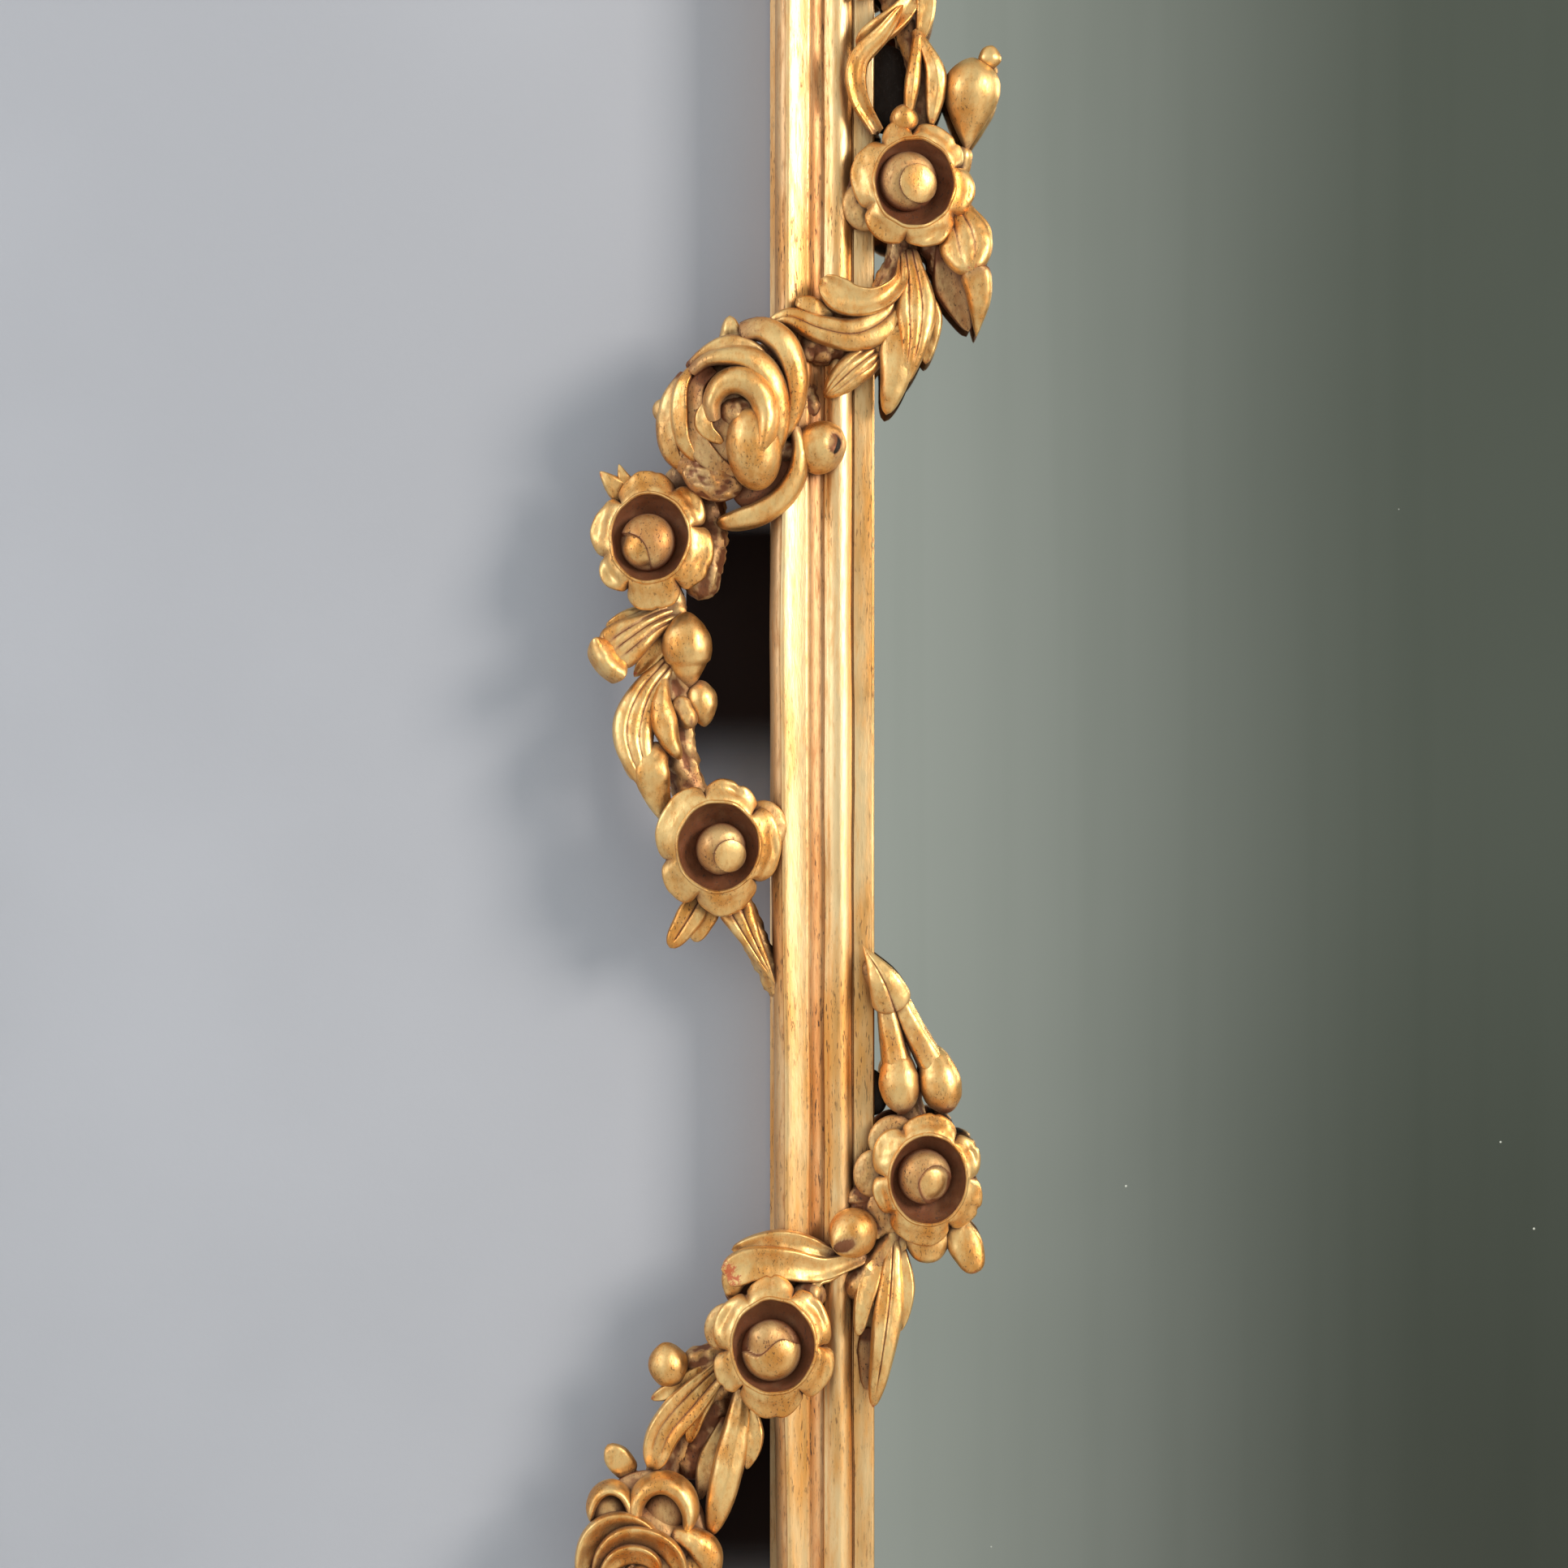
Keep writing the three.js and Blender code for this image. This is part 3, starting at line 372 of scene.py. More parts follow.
@dataclass(frozen=True)
class WaterGilding:
    """Gold leaf laid with water on red bole over gesso on lime wood, then burnished and toned.

    The eye sees yellow metal on the high places, fine dark flecks along the grain where the toning
    sits in the brushed gesso, brown glaze in the hollows and red bole where the leaf has rubbed off.
    Where other wood stands close, ambient occlusion paints shade into the toning and darkens the
    colour, and the deepest hollows are painted near black as deep shade.
    """

    leaf: str = "#F4CE8E"
    thick_leaf: str = "#D8974E"
    toning: str = "#8E6650"
    glaze: str = "#743C20"
    # the flecks' dirt, and the painted shade where other wood stands close
    dirt_and_shade: str = "#432A1B"
    bole: str = "#B5502E"
    # near black: painted deep shade in the deepest hollows
    deep_shade_black: str = "#1D130D"
    fleck: float = 1.1  # mm, drawn twice as coarse as they are so that they show
    streak: float = 2.6  # mm, the brush's marks in the gesso
    mottle: float = 16.0  # mm, the patches of thicker and thinner toning
    rub: float = 4.0  # mm, the spots where the leaf is gone

    def make(self, name: str, grain: Grain) -> bpy.types.Material:
        """Makes the material.

        Args:
            name: the material's name.
            grain: which way the flecks run.

        Returns:
            The material.
        """
        material, put = begin(name)
        place = put(Node.PLACE)
        # Both scalings turn metres to millimetres, and the first draws the pattern out along the grain.
        along = put(Node.SCALED, place, tuple(1000 * share for share in grain.value))
        plain = put(Node.SCALED, place, (1000.0, 1000.0, 1000.0))
        hollow_and_shade = put(Node.FIELD, attribute_name="hollow_and_shade")
        worn = put(Node.FIELD, attribute_name="worn")
        # Ambient occlusion within 11 mm, near 1 where other wood stands close: it paints shade into the
        # toning and the colour below.
        shut = put(Node.STEP, put(Node.COVER, 0.011), 0.72, 0.22)
        mottle = put(Node.NOISE, along, 1 / self.mottle, 4.0, 0.6)
        streak = put(Node.NOISE, along, 1 / self.streak, 4.0, 0.6)
        fleck = put(Node.NOISE, along, 1 / self.fleck, 3.0, 0.62)
        spots = put(Node.NOISE, plain, 1 / self.rub, 5.0, 0.7)

        # Toned runs from 0 on the high places to 1 in hollows and where other wood stands close; the part
        # from the occlusion is painted shade.
        depth = put(Node.TIMES_PLUS, hollow_and_shade, 0.85, put(Node.TIMES, shut, 0.75))
        uneven = put(Node.TIMES, put(Node.TIMES_PLUS, streak, 0.9, -0.45), 0.6)
        toned = put(Node.STEP, put(Node.PLUS, depth, uneven), 0.15, 0.95)
        many = put(Node.PLUS, put(Node.STEP, mottle, 0.42, 0.62, 0.12, 0.75), put(Node.TIMES, toned, 0.4))
        flecked = put(Node.TIMES, put(Node.STEP, fleck, 0.56, 0.66), many)
        rubbed = put(Node.TIMES, put(Node.STEP, put(Node.TIMES, worn, spots), 0.46, 0.56), 0.9)

        # Each layer lies over the one before: leaf, toning, glaze, flecks, painted shade, painted deep shade,
        # bare bole.
        thick = linear(self.thick_leaf)
        yellow = put(Node.BLEND, put(Node.STEP, mottle, 0.35, 0.68), linear(self.leaf), thick)
        warm = put(Node.BLEND, put(Node.STEP, streak, 0.45, 0.75, 0.0, 0.5), yellow, thick)
        browned = put(Node.BLEND, put(Node.TIMES, toned, 0.88), warm, linear(self.toning))
        glazed = put(Node.BLEND, put(Node.STEP, hollow_and_shade, 0.72, 0.85, 0.0, 0.8), browned, linear(self.glaze))
        dotted = put(Node.BLEND, flecked, glazed, linear(self.dirt_and_shade))
        # Painted shade: dark brown where the occlusion is high, except in the glazed hollows.
        unglazed = put(Node.STEP, hollow_and_shade, 0.74, 0.84, 1.0, 0.15)
        shade = put(Node.TIMES, put(Node.STEP, shut, 0.75, 1.0, 0.0, 0.7), unglazed)
        with_painted_shade = put(Node.BLEND, shade, dotted, linear(self.dirt_and_shade))
        # Painted deep shade: the deepest hollows go near black.
        deep_shaded = put(Node.BLEND, put(Node.STEP, hollow_and_shade, 0.9, 0.98), with_painted_shade, linear(self.deep_shade_black))
        colour = put(Node.BLEND, rubbed, deep_shaded, linear(self.bole))

        dull = put(Node.PLUS, put(Node.TIMES, toned, 0.55), put(Node.TIMES, flecked, 0.6))
        metal = put(Node.LESS, 1.0, put(Node.PLUS, dull, rubbed))
        rough = put(Node.TIMES_PLUS, dull, 0.3, put(Node.STEP, streak, 0.3, 0.7, 0.37, 0.51))
        height = put(Node.PLUS, put(Node.TIMES, streak, 0.5), put(Node.TIMES, fleck, 0.35))
        put(Node.SURFACE, put(Node.PRINCIPLED, colour, rough, metal, put(Node.BUMP, height, 0.5, 0.0006)))
        return material


@dataclass(frozen=True)
class SilveredGlass:
    """Old float glass silvered behind: a dim grey-green mirror with a breath of haze and some dust."""

    silver: str = "#A8ABA6"
    tarnish: str = "#9CA09A"
    dust: str = "#D8DCD4"
    haze: float = 333.3  # mm, its patches
    drawn: tuple[float, float, float] = (25.0, 1000.0, 714.3)  # mm, streaks up the sheet
    apart: float = 18.18  # mm between the places where dust may sit

    def make(self) -> bpy.types.Material:
        """Makes the material.

        Returns:
            The material.
        """
        material, put = begin("silvered_float_glass")
        place = put(Node.PLACE)
        wide = put(Node.NOISE, place, *per_metre(self.haze), 3.0)
        streak = put(Node.NOISE, put(Node.SCALED, place, per_metre(*self.drawn)), 1.0, 2.0)
        speck = put(Node.STEP, put(Node.CELLS, place, *per_metre(self.apart)), 0.05, 0.03)
        chance = put(Node.CHANNEL, put(Node.CELLS, place, *per_metre(self.apart), out="Color"))
        dusty = put(Node.TIMES, put(Node.TIMES, speck, put(Node.STEP, chance, 0.93, 0.95)), 0.8)
        patches = put(Node.STEP, wide, 0.4, 0.7, 0.0, 0.5)
        hazy = put(Node.TIMES_PLUS, put(Node.STEP, streak, 0.45, 0.7), 0.25, patches)
        silver = put(Node.BLEND, hazy, linear(self.silver), linear(self.tarnish))
        colour = put(Node.BLEND, dusty, silver, linear(self.dust))
        rough = put(Node.STEP, wide, 0.3, 0.7, 0.045, 0.075)
        put(Node.SURFACE, put(Node.PRINCIPLED, colour, rough, put(Node.LESS, 1.0, dusty)))
        return material


@dataclass(frozen=True)
class SawnPine:
    """Planed pine, gone brown with age: growth rings drawn out along the board, fibres and stains."""

    number: int
    early: str
    late: str = "#8A6644"
    grime: str = "#54402F"
    ring: float = 7.48  # mm from one growth ring to the next
    sway: tuple[float, float, float] = (200.0, 200.0, 909.1)  # mm, how far the rings run before they bend
    fibre: tuple[float, float, float] = (0.6667, 0.6667, 25.0)  # mm, thicker than real so that they show
    stain: float = 166.7  # mm, the patches of grime

    def make(self) -> bpy.types.Material:
        """Makes the material. A wave pattern repeats every 2 pi / 20 of its unit, which sets its scale.

        Returns:
            The material.
        """
        material, put = begin(f"aged_pine_board_{self.number}")
        elsewhere = (3.7 * self.number, 0.0, 1.3 * self.number)
        place = put(Node.SCALED, put(Node.PLACE), (1.0, 1.0, 1.0), elsewhere)
        bend = put(Node.NOISE, put(Node.SCALED, place, per_metre(*self.sway)), 1.0, 2.0, out="Color")
        swayed = put(Node.SHIFTED, place, put(Node.SHRUNK, bend, 0.13))
        drawn = put(Node.SCALED, swayed, (1.0, 1.0, 0.05))
        rings = put(Node.RINGS, drawn, 2 * np.pi / 20 * 1000 / self.ring, 1.2, 2.0, 1.2)
        fibre = put(Node.NOISE, put(Node.SCALED, place, per_metre(*self.fibre)), 1.0, 3.0)
        age = put(Node.NOISE, place, *per_metre(self.stain), 5.0)
        ringed = put(Node.BLEND, put(Node.STEP, rings, 0.4, 1.0), linear(self.early), linear(self.late))
        fibrous = put(Node.BLEND, put(Node.STEP, fibre, 0.5, 0.8, 0.0, 0.4), ringed, linear(self.late))
        colour = put(Node.BLEND, put(Node.STEP, age, 0.45, 0.8, 0.0, 0.5), fibrous, linear(self.grime))
        put(Node.SURFACE, put(Node.PRINCIPLED, colour, 0.78, 0.0, put(Node.BUMP, fibre, 0.4, 0.0004)))
        return material


@dataclass(frozen=True)
class PlainBeech:
    """Beech, planed and left bare: an even brown with fine pores."""

    light: str = "#8A6240"
    dark: str = "#5A3C25"
    pore: tuple[float, float, float] = (0.5556, 0.5556, 8.333)  # mm

    def make(self) -> bpy.types.Material:
        """Makes the material.

        Returns:
            The material.
        """
        material, put = begin("bare_beech_feather")
        pores = put(Node.NOISE, put(Node.SCALED, put(Node.PLACE), per_metre(*self.pore)), 1.0, 3.0)
        colour = put(Node.BLEND, put(Node.STEP, pores, 0.4, 0.7), linear(self.light), linear(self.dark))
        put(Node.SURFACE, put(Node.PRINCIPLED, colour, 0.7, 0.0, put(Node.BUMP, pores, 0.3, 0.0003)))
        return material


@dataclass(frozen=True)
class OldMetal:
    """Rolled or turned metal that has dulled: fine scratches, and a film in patches."""

    name: str
    bright: str
    film: str
    roughness: float
    scratch: tuple[float, float, float] = (0.3333, 0.3333, 6.667)  # mm
    patch: float = 9.09  # mm

    def make(self) -> bpy.types.Material:
        """Makes the material.

        Returns:
            The material.
        """
        material, put = begin(self.name)
        place = put(Node.PLACE)
        scratch = put(Node.NOISE, put(Node.SCALED, place, per_metre(*self.scratch)), 1.0, 2.0)
        patch = put(Node.NOISE, place, *per_metre(self.patch), 5.0)
        colour = put(Node.BLEND, put(Node.STEP, patch, 0.42, 0.68), linear(self.bright), linear(self.film))
        metal = put(Node.STEP, patch, 0.45, 0.75, 1.0, 0.7)
        marked = put(Node.PLUS, patch, put(Node.TIMES, scratch, 0.3))
        rough = put(Node.STEP, marked, 0.4, 0.9, self.roughness, self.roughness + 0.2)
        put(Node.SURFACE, put(Node.PRINCIPLED, colour, rough, metal, put(Node.BUMP, scratch, 0.2, 0.0002)))
        return material


# ---- Moulding ----------------------------------------------------------------------------------


class Side(Enum):
    """The frame's four members, each by its quarter turn from the left stile, seen from the room."""

    LEFT = ("stile_left", 0)
    TOP = ("rail_top", 1)
    RIGHT = ("stile_right", 2)
    BOTTOM = ("rail_bottom", 3)


@dataclass
class Moulding:
    """The mitred frame: one carved section carried along four members."""

    step_along: float = 5.5
    wander: float = 2.8  # how far the hand-planed outer edge comes in
    recess_half: float = 13.3
    recess_length: float = 24.3
    recess_depth: float = 3.3
    plate_spacing: float = 300.0

    def section(self) -> tuple[Array, Array, Array]:
        """The section as [from the outer edge, forward of the wall], with its hollow and worn numbers.

        Each stretch is a line or an arc. The outer side rounds over into a ridge, and a gentle slope
        runs down from it to a quarter cove. A thin ridge, a raised bead and a cut groove follow, then
        a nearly flat fillet with a rounded arris at the glass, the rebate and the flat back.

        Returns:
            The points, and their hollow and worn numbers.
        """
        turn = lambda a, b, n: np.radians(np.linspace(a, b, n))
        arc = lambda x, y, rx, ry, a, b, n: np.stack(
            [x + rx * np.cos(turn(a, b, n)), y + ry * np.sin(turn(a, b, n))], axis=1
        )
        line = lambda x0, y0, x1, y1, n: np.stack([np.linspace(x0, x1, n), np.linspace(y0, y1, n)], axis=1)
        # Each stretch has its hollow and worn numbers. The high hollow numbers on the outer side, its
        # rounding, the step and the cove tone these bands dark: painted shade where they face away from the
        # lamps, with real toning in the cove.
        parts = [
            (line(0.3, 0.0, 0.3, 27.0, 10), 0.5, 0.1),
            (arc(6.6, 28.0, 6.3, 10.7, 180, 98, 14), 0.62, 0.15),
            (arc(7.4, 36.6, 3.4, 3.0, 112, 66, 8), 0.04, 0.6),
            (arc(26.4, 77.2, 41.6, 41.6, 246.5, 260, 14), 0.14, 0.2),
            (arc(18.5, 33.3, 3.0, 3.0, 80, 25, 8), 0.5, 0.2),
            (arc(29.3, 38.0, 8.2, 6.9, 208, 266, 12), 0.68, 0.1),
            (line(28.9, 31.2, 29.1, 32.2, 3), 0.45, 0.2),
            (arc(30.0, 32.2, 0.9, 0.9, 175, 90, 4), 0.08, 0.5),
            (arc(36.2, 26.5, 8.0, 9.3, 130, 8, 26), 0.03, 0.3),
            (line(44.2, 28.2, 44.4, 28.0, 3), 0.25, 0.0),
            (line(44.7, 28.0, 45.1, 28.9, 3), 0.25, 0.1),
            (arc(45.6, -6.0, 40.0, 35.0, 90, 77.5, 10), 0.06, 0.15),
            (arc(54.4, 26.4, 1.6, 1.7, 80, 5, 7), 0.0, 0.8),
            (line(56.0, 24.8, 56.0, 15.6, 5), 0.55, 0.0),
            (line(55.0, 15.6, 46.0, 15.6, 3), 0.8, 0.0),
            (line(46.0, 14.6, 46.0, 0.0, 3), 0.9, 0.0),
            (line(45.0, 0.0, self.recess_length + 0.02, 0.0, 4), 0.86, 0.0),
            (line(self.recess_length, 0.0, 1.3, 0.0, 4), 0.86, 0.0),
        ]
        ring = np.vstack([p for p, _, _ in parts])
        hollow_and_shade = np.concatenate([np.full(len(p), h) for p, h, _ in parts])
        worn = np.concatenate([np.full(len(p), w) for p, _, w in parts])
        ring[:, 1] = np.minimum(ring[:, 1], RIDGE_FRONT)
        return ring, hollow_and_shade, worn

    def drift(self, run: Array, quarter: int) -> Array:
        """How far the outer edge comes in at each place along a member, from slow waves.

        On the left stile it is full width where the garlands reach furthest out, as they were
        planed together, and narrower above, between and below.

        Args:
            run: places along the member, from its middle.
            quarter: the member's quarter turn.

        Returns:
            One number for each place.
        """
        if quarter in (0, 2):
            heights = [-740, -560, -410, -330, -230, -140, -60, 50, 150, 260, 330, 480, 740]
            shares = [0.5, 0.9, 1.6, 1.2, 0.7, 0.8, 0.7, 0.1, 0.0, 0.3, 0.9, 1.0, 0.6]
            z = run if quarter == 0 else -run
            return self.wander * np.interp(z, heights, shares)
        return self.wander * (0.5 + 0.4 * np.sin(run / 90 + quarter))

    def skin(self, side: Side) -> Skin:
        """One member: the section at each step along it, its ends cut to the mitre.

        A ring at share s of the length stands at s times (half the length - distance from the outer
        edge), so that the first and last rings lie in the mitre planes. Small slow waves move the
        section's points, as a scraper leaves them.

        Args:
            side: which member.

        Returns:
            Its skin.
        """
        _, quarter = side.value
        half = (FRAME_HEIGHT if quarter in (0, 2) else FRAME_WIDTH) / 2
        ring, hollow_and_shade, worn = self.section()
        share = np.linspace(-1, 1, int(2 * half / self.step_along) | 1)
        edges = []
        if side is Side.TOP:
            for middle in (-self.plate_spacing / 2, self.plate_spacing / 2):
                for reach in (-self.recess_half, self.recess_half):
                    edges += [(middle + reach - 0.01) / half, (middle + reach + 0.01) / half]
        share = np.unique(np.concatenate([share, edges]))
        rings, around = len(share), len(ring)
        x = np.broadcast_to(ring[:, 0], (rings, around)).copy()
        y = np.broadcast_to(ring[:, 1], (rings, around)).copy()
        z = share[:, None] * (half - ring[:, 0] - MITRE_GAP)
        sides = np.broadcast_to(np.arange(around) * 1.7, (rings, around))
        spot = np.stack([sides, np.zeros_like(x), z], axis=-1)
        front = (y > 16.5) & (x < 55.0)
        near = ease(half, half - 50, np.abs(z))
        fade = ease(30.0, 4.0, x)
        x = x + self.drift(z, quarter) * fade * near * (y > 0.5)
        x = x + np.where(front, 0.3 * ripple(spot, 110, 11 + quarter), 0)
        y = y - np.where(front, 0.1 * (1 + ripple(spot, 90, 31 + quarter)), 0)
        x = np.maximum(x, 0.05)
        if side is Side.TOP:
            inside = np.zeros_like(z, bool)
            for middle in (-self.plate_spacing / 2, self.plate_spacing / 2):
                inside |= np.abs(share[:, None] * half - middle) < self.recess_half
            sunk = inside & (ring[:, 1] < 0.01) & (ring[:, 0] <= self.recess_length)
            y = np.where(sunk, self.recess_depth, y)
        cosine, sine = ((1, 0), (0, 1), (-1, 0), (0, -1))[quarter]
        turned = np.stack([x * cosine + z * sine, -y, z * cosine - x * sine], axis=-1)
        outer_edge = np.array([-cosine * FRAME_WIDTH / 2, 0.0, sine * FRAME_HEIGHT / 2])
        worn_here = worn * (0.45 + 0.55 * ripple(spot, 120, 51 + quarter))
        made = Skin()
        made.tube(turned + outer_edge, np.broadcast_to(hollow_and_shade, (rings, around)), worn_here)
        return made

    def build(self, gilding: dict[Grain, bpy.types.Material]) -> None:
        """Makes the four members and lets each stand for its node.

        Args:
            gilding: the finish for each way that the wood runs.
        """
        for side in Side:
            node, quarter = side.value
            grain = Grain.UPRIGHT if quarter in (0, 2) else Grain.LEVEL
            piece = self.skin(side).piece(f"moulded_{node}", gilding[grain], crease=32)
            stand_for(piece, node)


# ---- Carved parts ------------------------------------------------------------------------------


@dataclass
class Stem:
    """A round or flattened stem along its places, with the carver's short rough cuts on it."""

    through: list[Place]
    radii: tuple[float, float]
    rough: float = 0.6
    flat: float = 1.0  # depth as a share of the width
    hollow_and_shade: float = 0.4

    def cut(self, skin: Skin, seed: int) -> None:
        """Adds the stem: at each share of its length a ring of radius r(t) with five soft ribs.

        Args:
            skin: the skin that takes it in.
            seed: picks its unevenness.
        """
        chord = np.linalg.norm(np.diff(np.asarray(self.through, float), axis=0), axis=1).sum()
        count = int(np.clip(chord / 2.2, 36, 150))
        sweep = Sweep.through(self.through, count)
        t = np.linspace(0, 1, count)[:, None]
        turn = np.linspace(0, 2 * np.pi, 28, endpoint=False)[None, :]
        radius = self.radii[0] + (self.radii[1] - self.radii[0]) * t
        ends = np.minimum(t, 1 - t) * sweep.length / radius
        radius = radius * np.sqrt(np.clip(1 - np.clip(1 - ends, 0, 1) ** 2, 0.002, 1))
        ribs = np.cos(5 * turn + 3 * t)
        radius = radius * (1 + 0.05 * ribs)
        ring = lambda r: (
            sweep.centre[:, None]
            + sweep.across[:, None] * (r * np.cos(turn))[..., None]
            + sweep.forward[:, None] * (r * self.flat * np.sin(turn))[..., None]
        )
        first = ring(radius)
        bumps = 0.8 * ripple(first, 11, seed) + 0.6 * ripple(first, 4.5, seed + 1)
        radius = radius + self.rough * bumps * np.clip(ends, 0, 1)
        deep = self.hollow_and_shade - 0.12 * ribs - 0.25 * bumps
        # A stem whose hollow number is over 0.95 may reach the near-black painted deep shade.
        skin.tube(ring(radius), np.minimum(deep, 0.86 + 0.14 * (self.hollow_and_shade > 0.95)), 0.25 + 0.25 * bumps)


@dataclass
class Blade:
    """One gouge-cut strip of a leaf or petal, blunt or pointed at its end.

    Sizes are mm. Across the strip v runs from -1 to 1, and 1 is at the picture's right where the
    strip runs down. A dish above zero hollows the strip and one below crowns it, a lean raises its
    right edge, a fold drops both halves from the middle, and reeds are incised lines.
    """

    through: list[Place]
    width: float
    thickness: float = 6.0
    dish: float = 0.2
    base: float = 0.5
    widest: float = 0.55
    point: float = 0.35
    lean: float = 0.0
    fold: float = 0.0
    reeds: int = 0
    curl: float = 0.0
    hollow_and_shade: float = 0.0
    rubbed: float = 0.0  # how much more worn its end is
    grid: tuple[int, int] = (34, 31)  # places along it, and across its front

    def cut(self, skin: Skin, seed: int) -> None:
        """Adds the strip as one closed surface.

        The half width grows smoothly from the base's share to the widest place, and ends in a
        mix of a round end sqrt(1 - s^2.4) and a pointed one (1 - s)^0.85. The front stands
        edge (0.72 + dish (2 v² - 0.9)) of the thickness high, where the edge factor is
        sqrt(1 - v^6), less the fold and the reeds.

        Args:
            skin: the skin that takes it in.
            seed: picks its unevenness.
        """
        rows_along, columns = self.grid
        sweep = Sweep.through(self.through, rows_along)
        t = np.linspace(0, 1, rows_along)[:, None]
        v = np.sin(np.linspace(-np.pi / 2, np.pi / 2, columns))[None, :]
        swell = self.base + (1 - self.base) * ease(0, self.widest, t)
        late = np.clip((t - self.widest) / (1 - self.widest), 0, 1)
        blunt, sharp = np.sqrt(np.clip(1 - late**2.4, 0, 1)), (1 - late) ** 0.85
        early = np.clip(t * sweep.length / (0.25 * self.width), 0, 1)
        start = np.sqrt(np.clip(1 - (1 - early) ** 2, 0, 1))
        envelope = np.maximum(swell * start * (blunt + (sharp - blunt) * self.point), 0.015)
        half = self.width / 2 * envelope * (1 + 0.05 * np.sin(9 * t + seed))
        thick = self.thickness * np.minimum(1, envelope * 1.6) ** 0.8
        edge = np.sqrt(np.clip(1 - v**6, 0, 1))
        front = thick * edge * (0.72 + self.dish * (2 * v**2 - 0.9)) - self.fold * np.abs(v - 0.1) * envelope
        groove = np.zeros_like(front)
        for place in np.linspace(-1, 1, self.reeds + 2)[1:-1]:
            line = np.clip(1 - np.abs(v - place * (1 - 0.2 * t)) / 0.14, 0, 1)
            groove = groove + line * ease(1.0, 0.72, t)
        front = front - 1.2 * groove * np.minimum(1, envelope * 1.5)
        under = v[:, ::-1][:, 1:-1:3]
        back = -thick * 0.6 * (1 - under**2)
        vs = np.concatenate([np.broadcast_to(v, front.shape), np.broadcast_to(under, back.shape)], 1)
        height = np.concatenate([front, back], 1) + self.lean * vs * envelope
        height = height + self.curl * ease(0.6, 1.0, t) ** 1.5
        rows = (
            sweep.centre[:, None]
            + sweep.across[:, None] * (vs * half)[..., None]
            + sweep.forward[:, None] * height[..., None]
        )
        uneven = ripple(rows, 10, seed) * 0.26 + ripple(rows, 4, seed + 5) * 0.1
        rows = rows + sweep.forward[:, None] * (uneven * np.minimum(1, envelope * 2))[..., None]
        rim = ease(0.82, 0.97, np.abs(v))
        root = 0.55 * ease(0.3, 0.0, t)
        deep = np.concatenate([0.85 * groove + 0.35 * rim + root, np.full_like(back, 0.8)], 1) + self.hollow_and_shade
        end = 0.25 + 0.6 * ease(0.55, 1.0, t) + self.rubbed * ease(0.86, 0.97, t)
        high = np.concatenate([(1 - groove) * end * np.ones_like(v), 0 * back], 1)
        skin.tube(rows, np.clip(deep, 0, 0.88), high)


@dataclass
class Leaf:
    """An acanthus leaf: a middle blade, and fingers that part from it to both sides and end rounded.

    The fingers are counted for the picture's left and right of a leaf that hangs down.
    """

    through: list[Place]
    width: float
    fingers: tuple[int, int] = (2, 2)
    dish: float = 0.2
    reeds: int = 1
    curl: float = 2.0
    point: float = 0.4
    droop: float = 2.5  # how far the fingers' tips lie behind the middle blade

    def cut(self, skin: Skin, seed: int) -> None:
        """Adds the blades. A finger leaves the middle line at one share and ends at a later one, aside.

        Args:
            skin: the skin that takes it in.
            seed: picks its unevenness.
        """
        rng = np.random.default_rng(seed)
        spine = Sweep.through(self.through, 61)
        blades = [
            Blade(
                self.through,
                width=self.width * 0.52,
                thickness=6.5,
                dish=self.dish,
                base=0.5,
                widest=0.5,
                point=self.point,
                reeds=self.reeds,
                curl=self.curl,
            )
        ]
        for side, count in zip((-1, 1), self.fingers):
            for k in range(count):
                start = 0.03 + 0.5 * k / count
                end = start + 0.34 + rng.uniform(-0.03, 0.03)
                reach = side * self.width / 2 * (1 - 0.3 * k / count) * rng.uniform(0.85, 1.0)
                halfway = 0.4 * start + 0.6 * end
                path = []
                for share, out, back in ((start, 0.15, 0.0), (halfway, 0.62, 0.3), (end, 1.0, 1.0)):
                    row = int(round(60 * share))
                    aside = spine.across[row] * reach * out
                    path.append(tuple(spine.centre[row] + aside - spine.forward[row] * self.droop * back))
                finger = Blade(
                    path,
                    width=self.width * 0.34,
                    thickness=5,
                    dish=self.dish,
                    base=0.55,
                    widest=0.5,
                    point=0.5,
                    curl=self.curl * 0.5,
                    grid=(26, 23),
                )
                blades.append(finger)
        for number, blade in enumerate(blades):
            blade.cut(skin, seed + 7 * number)


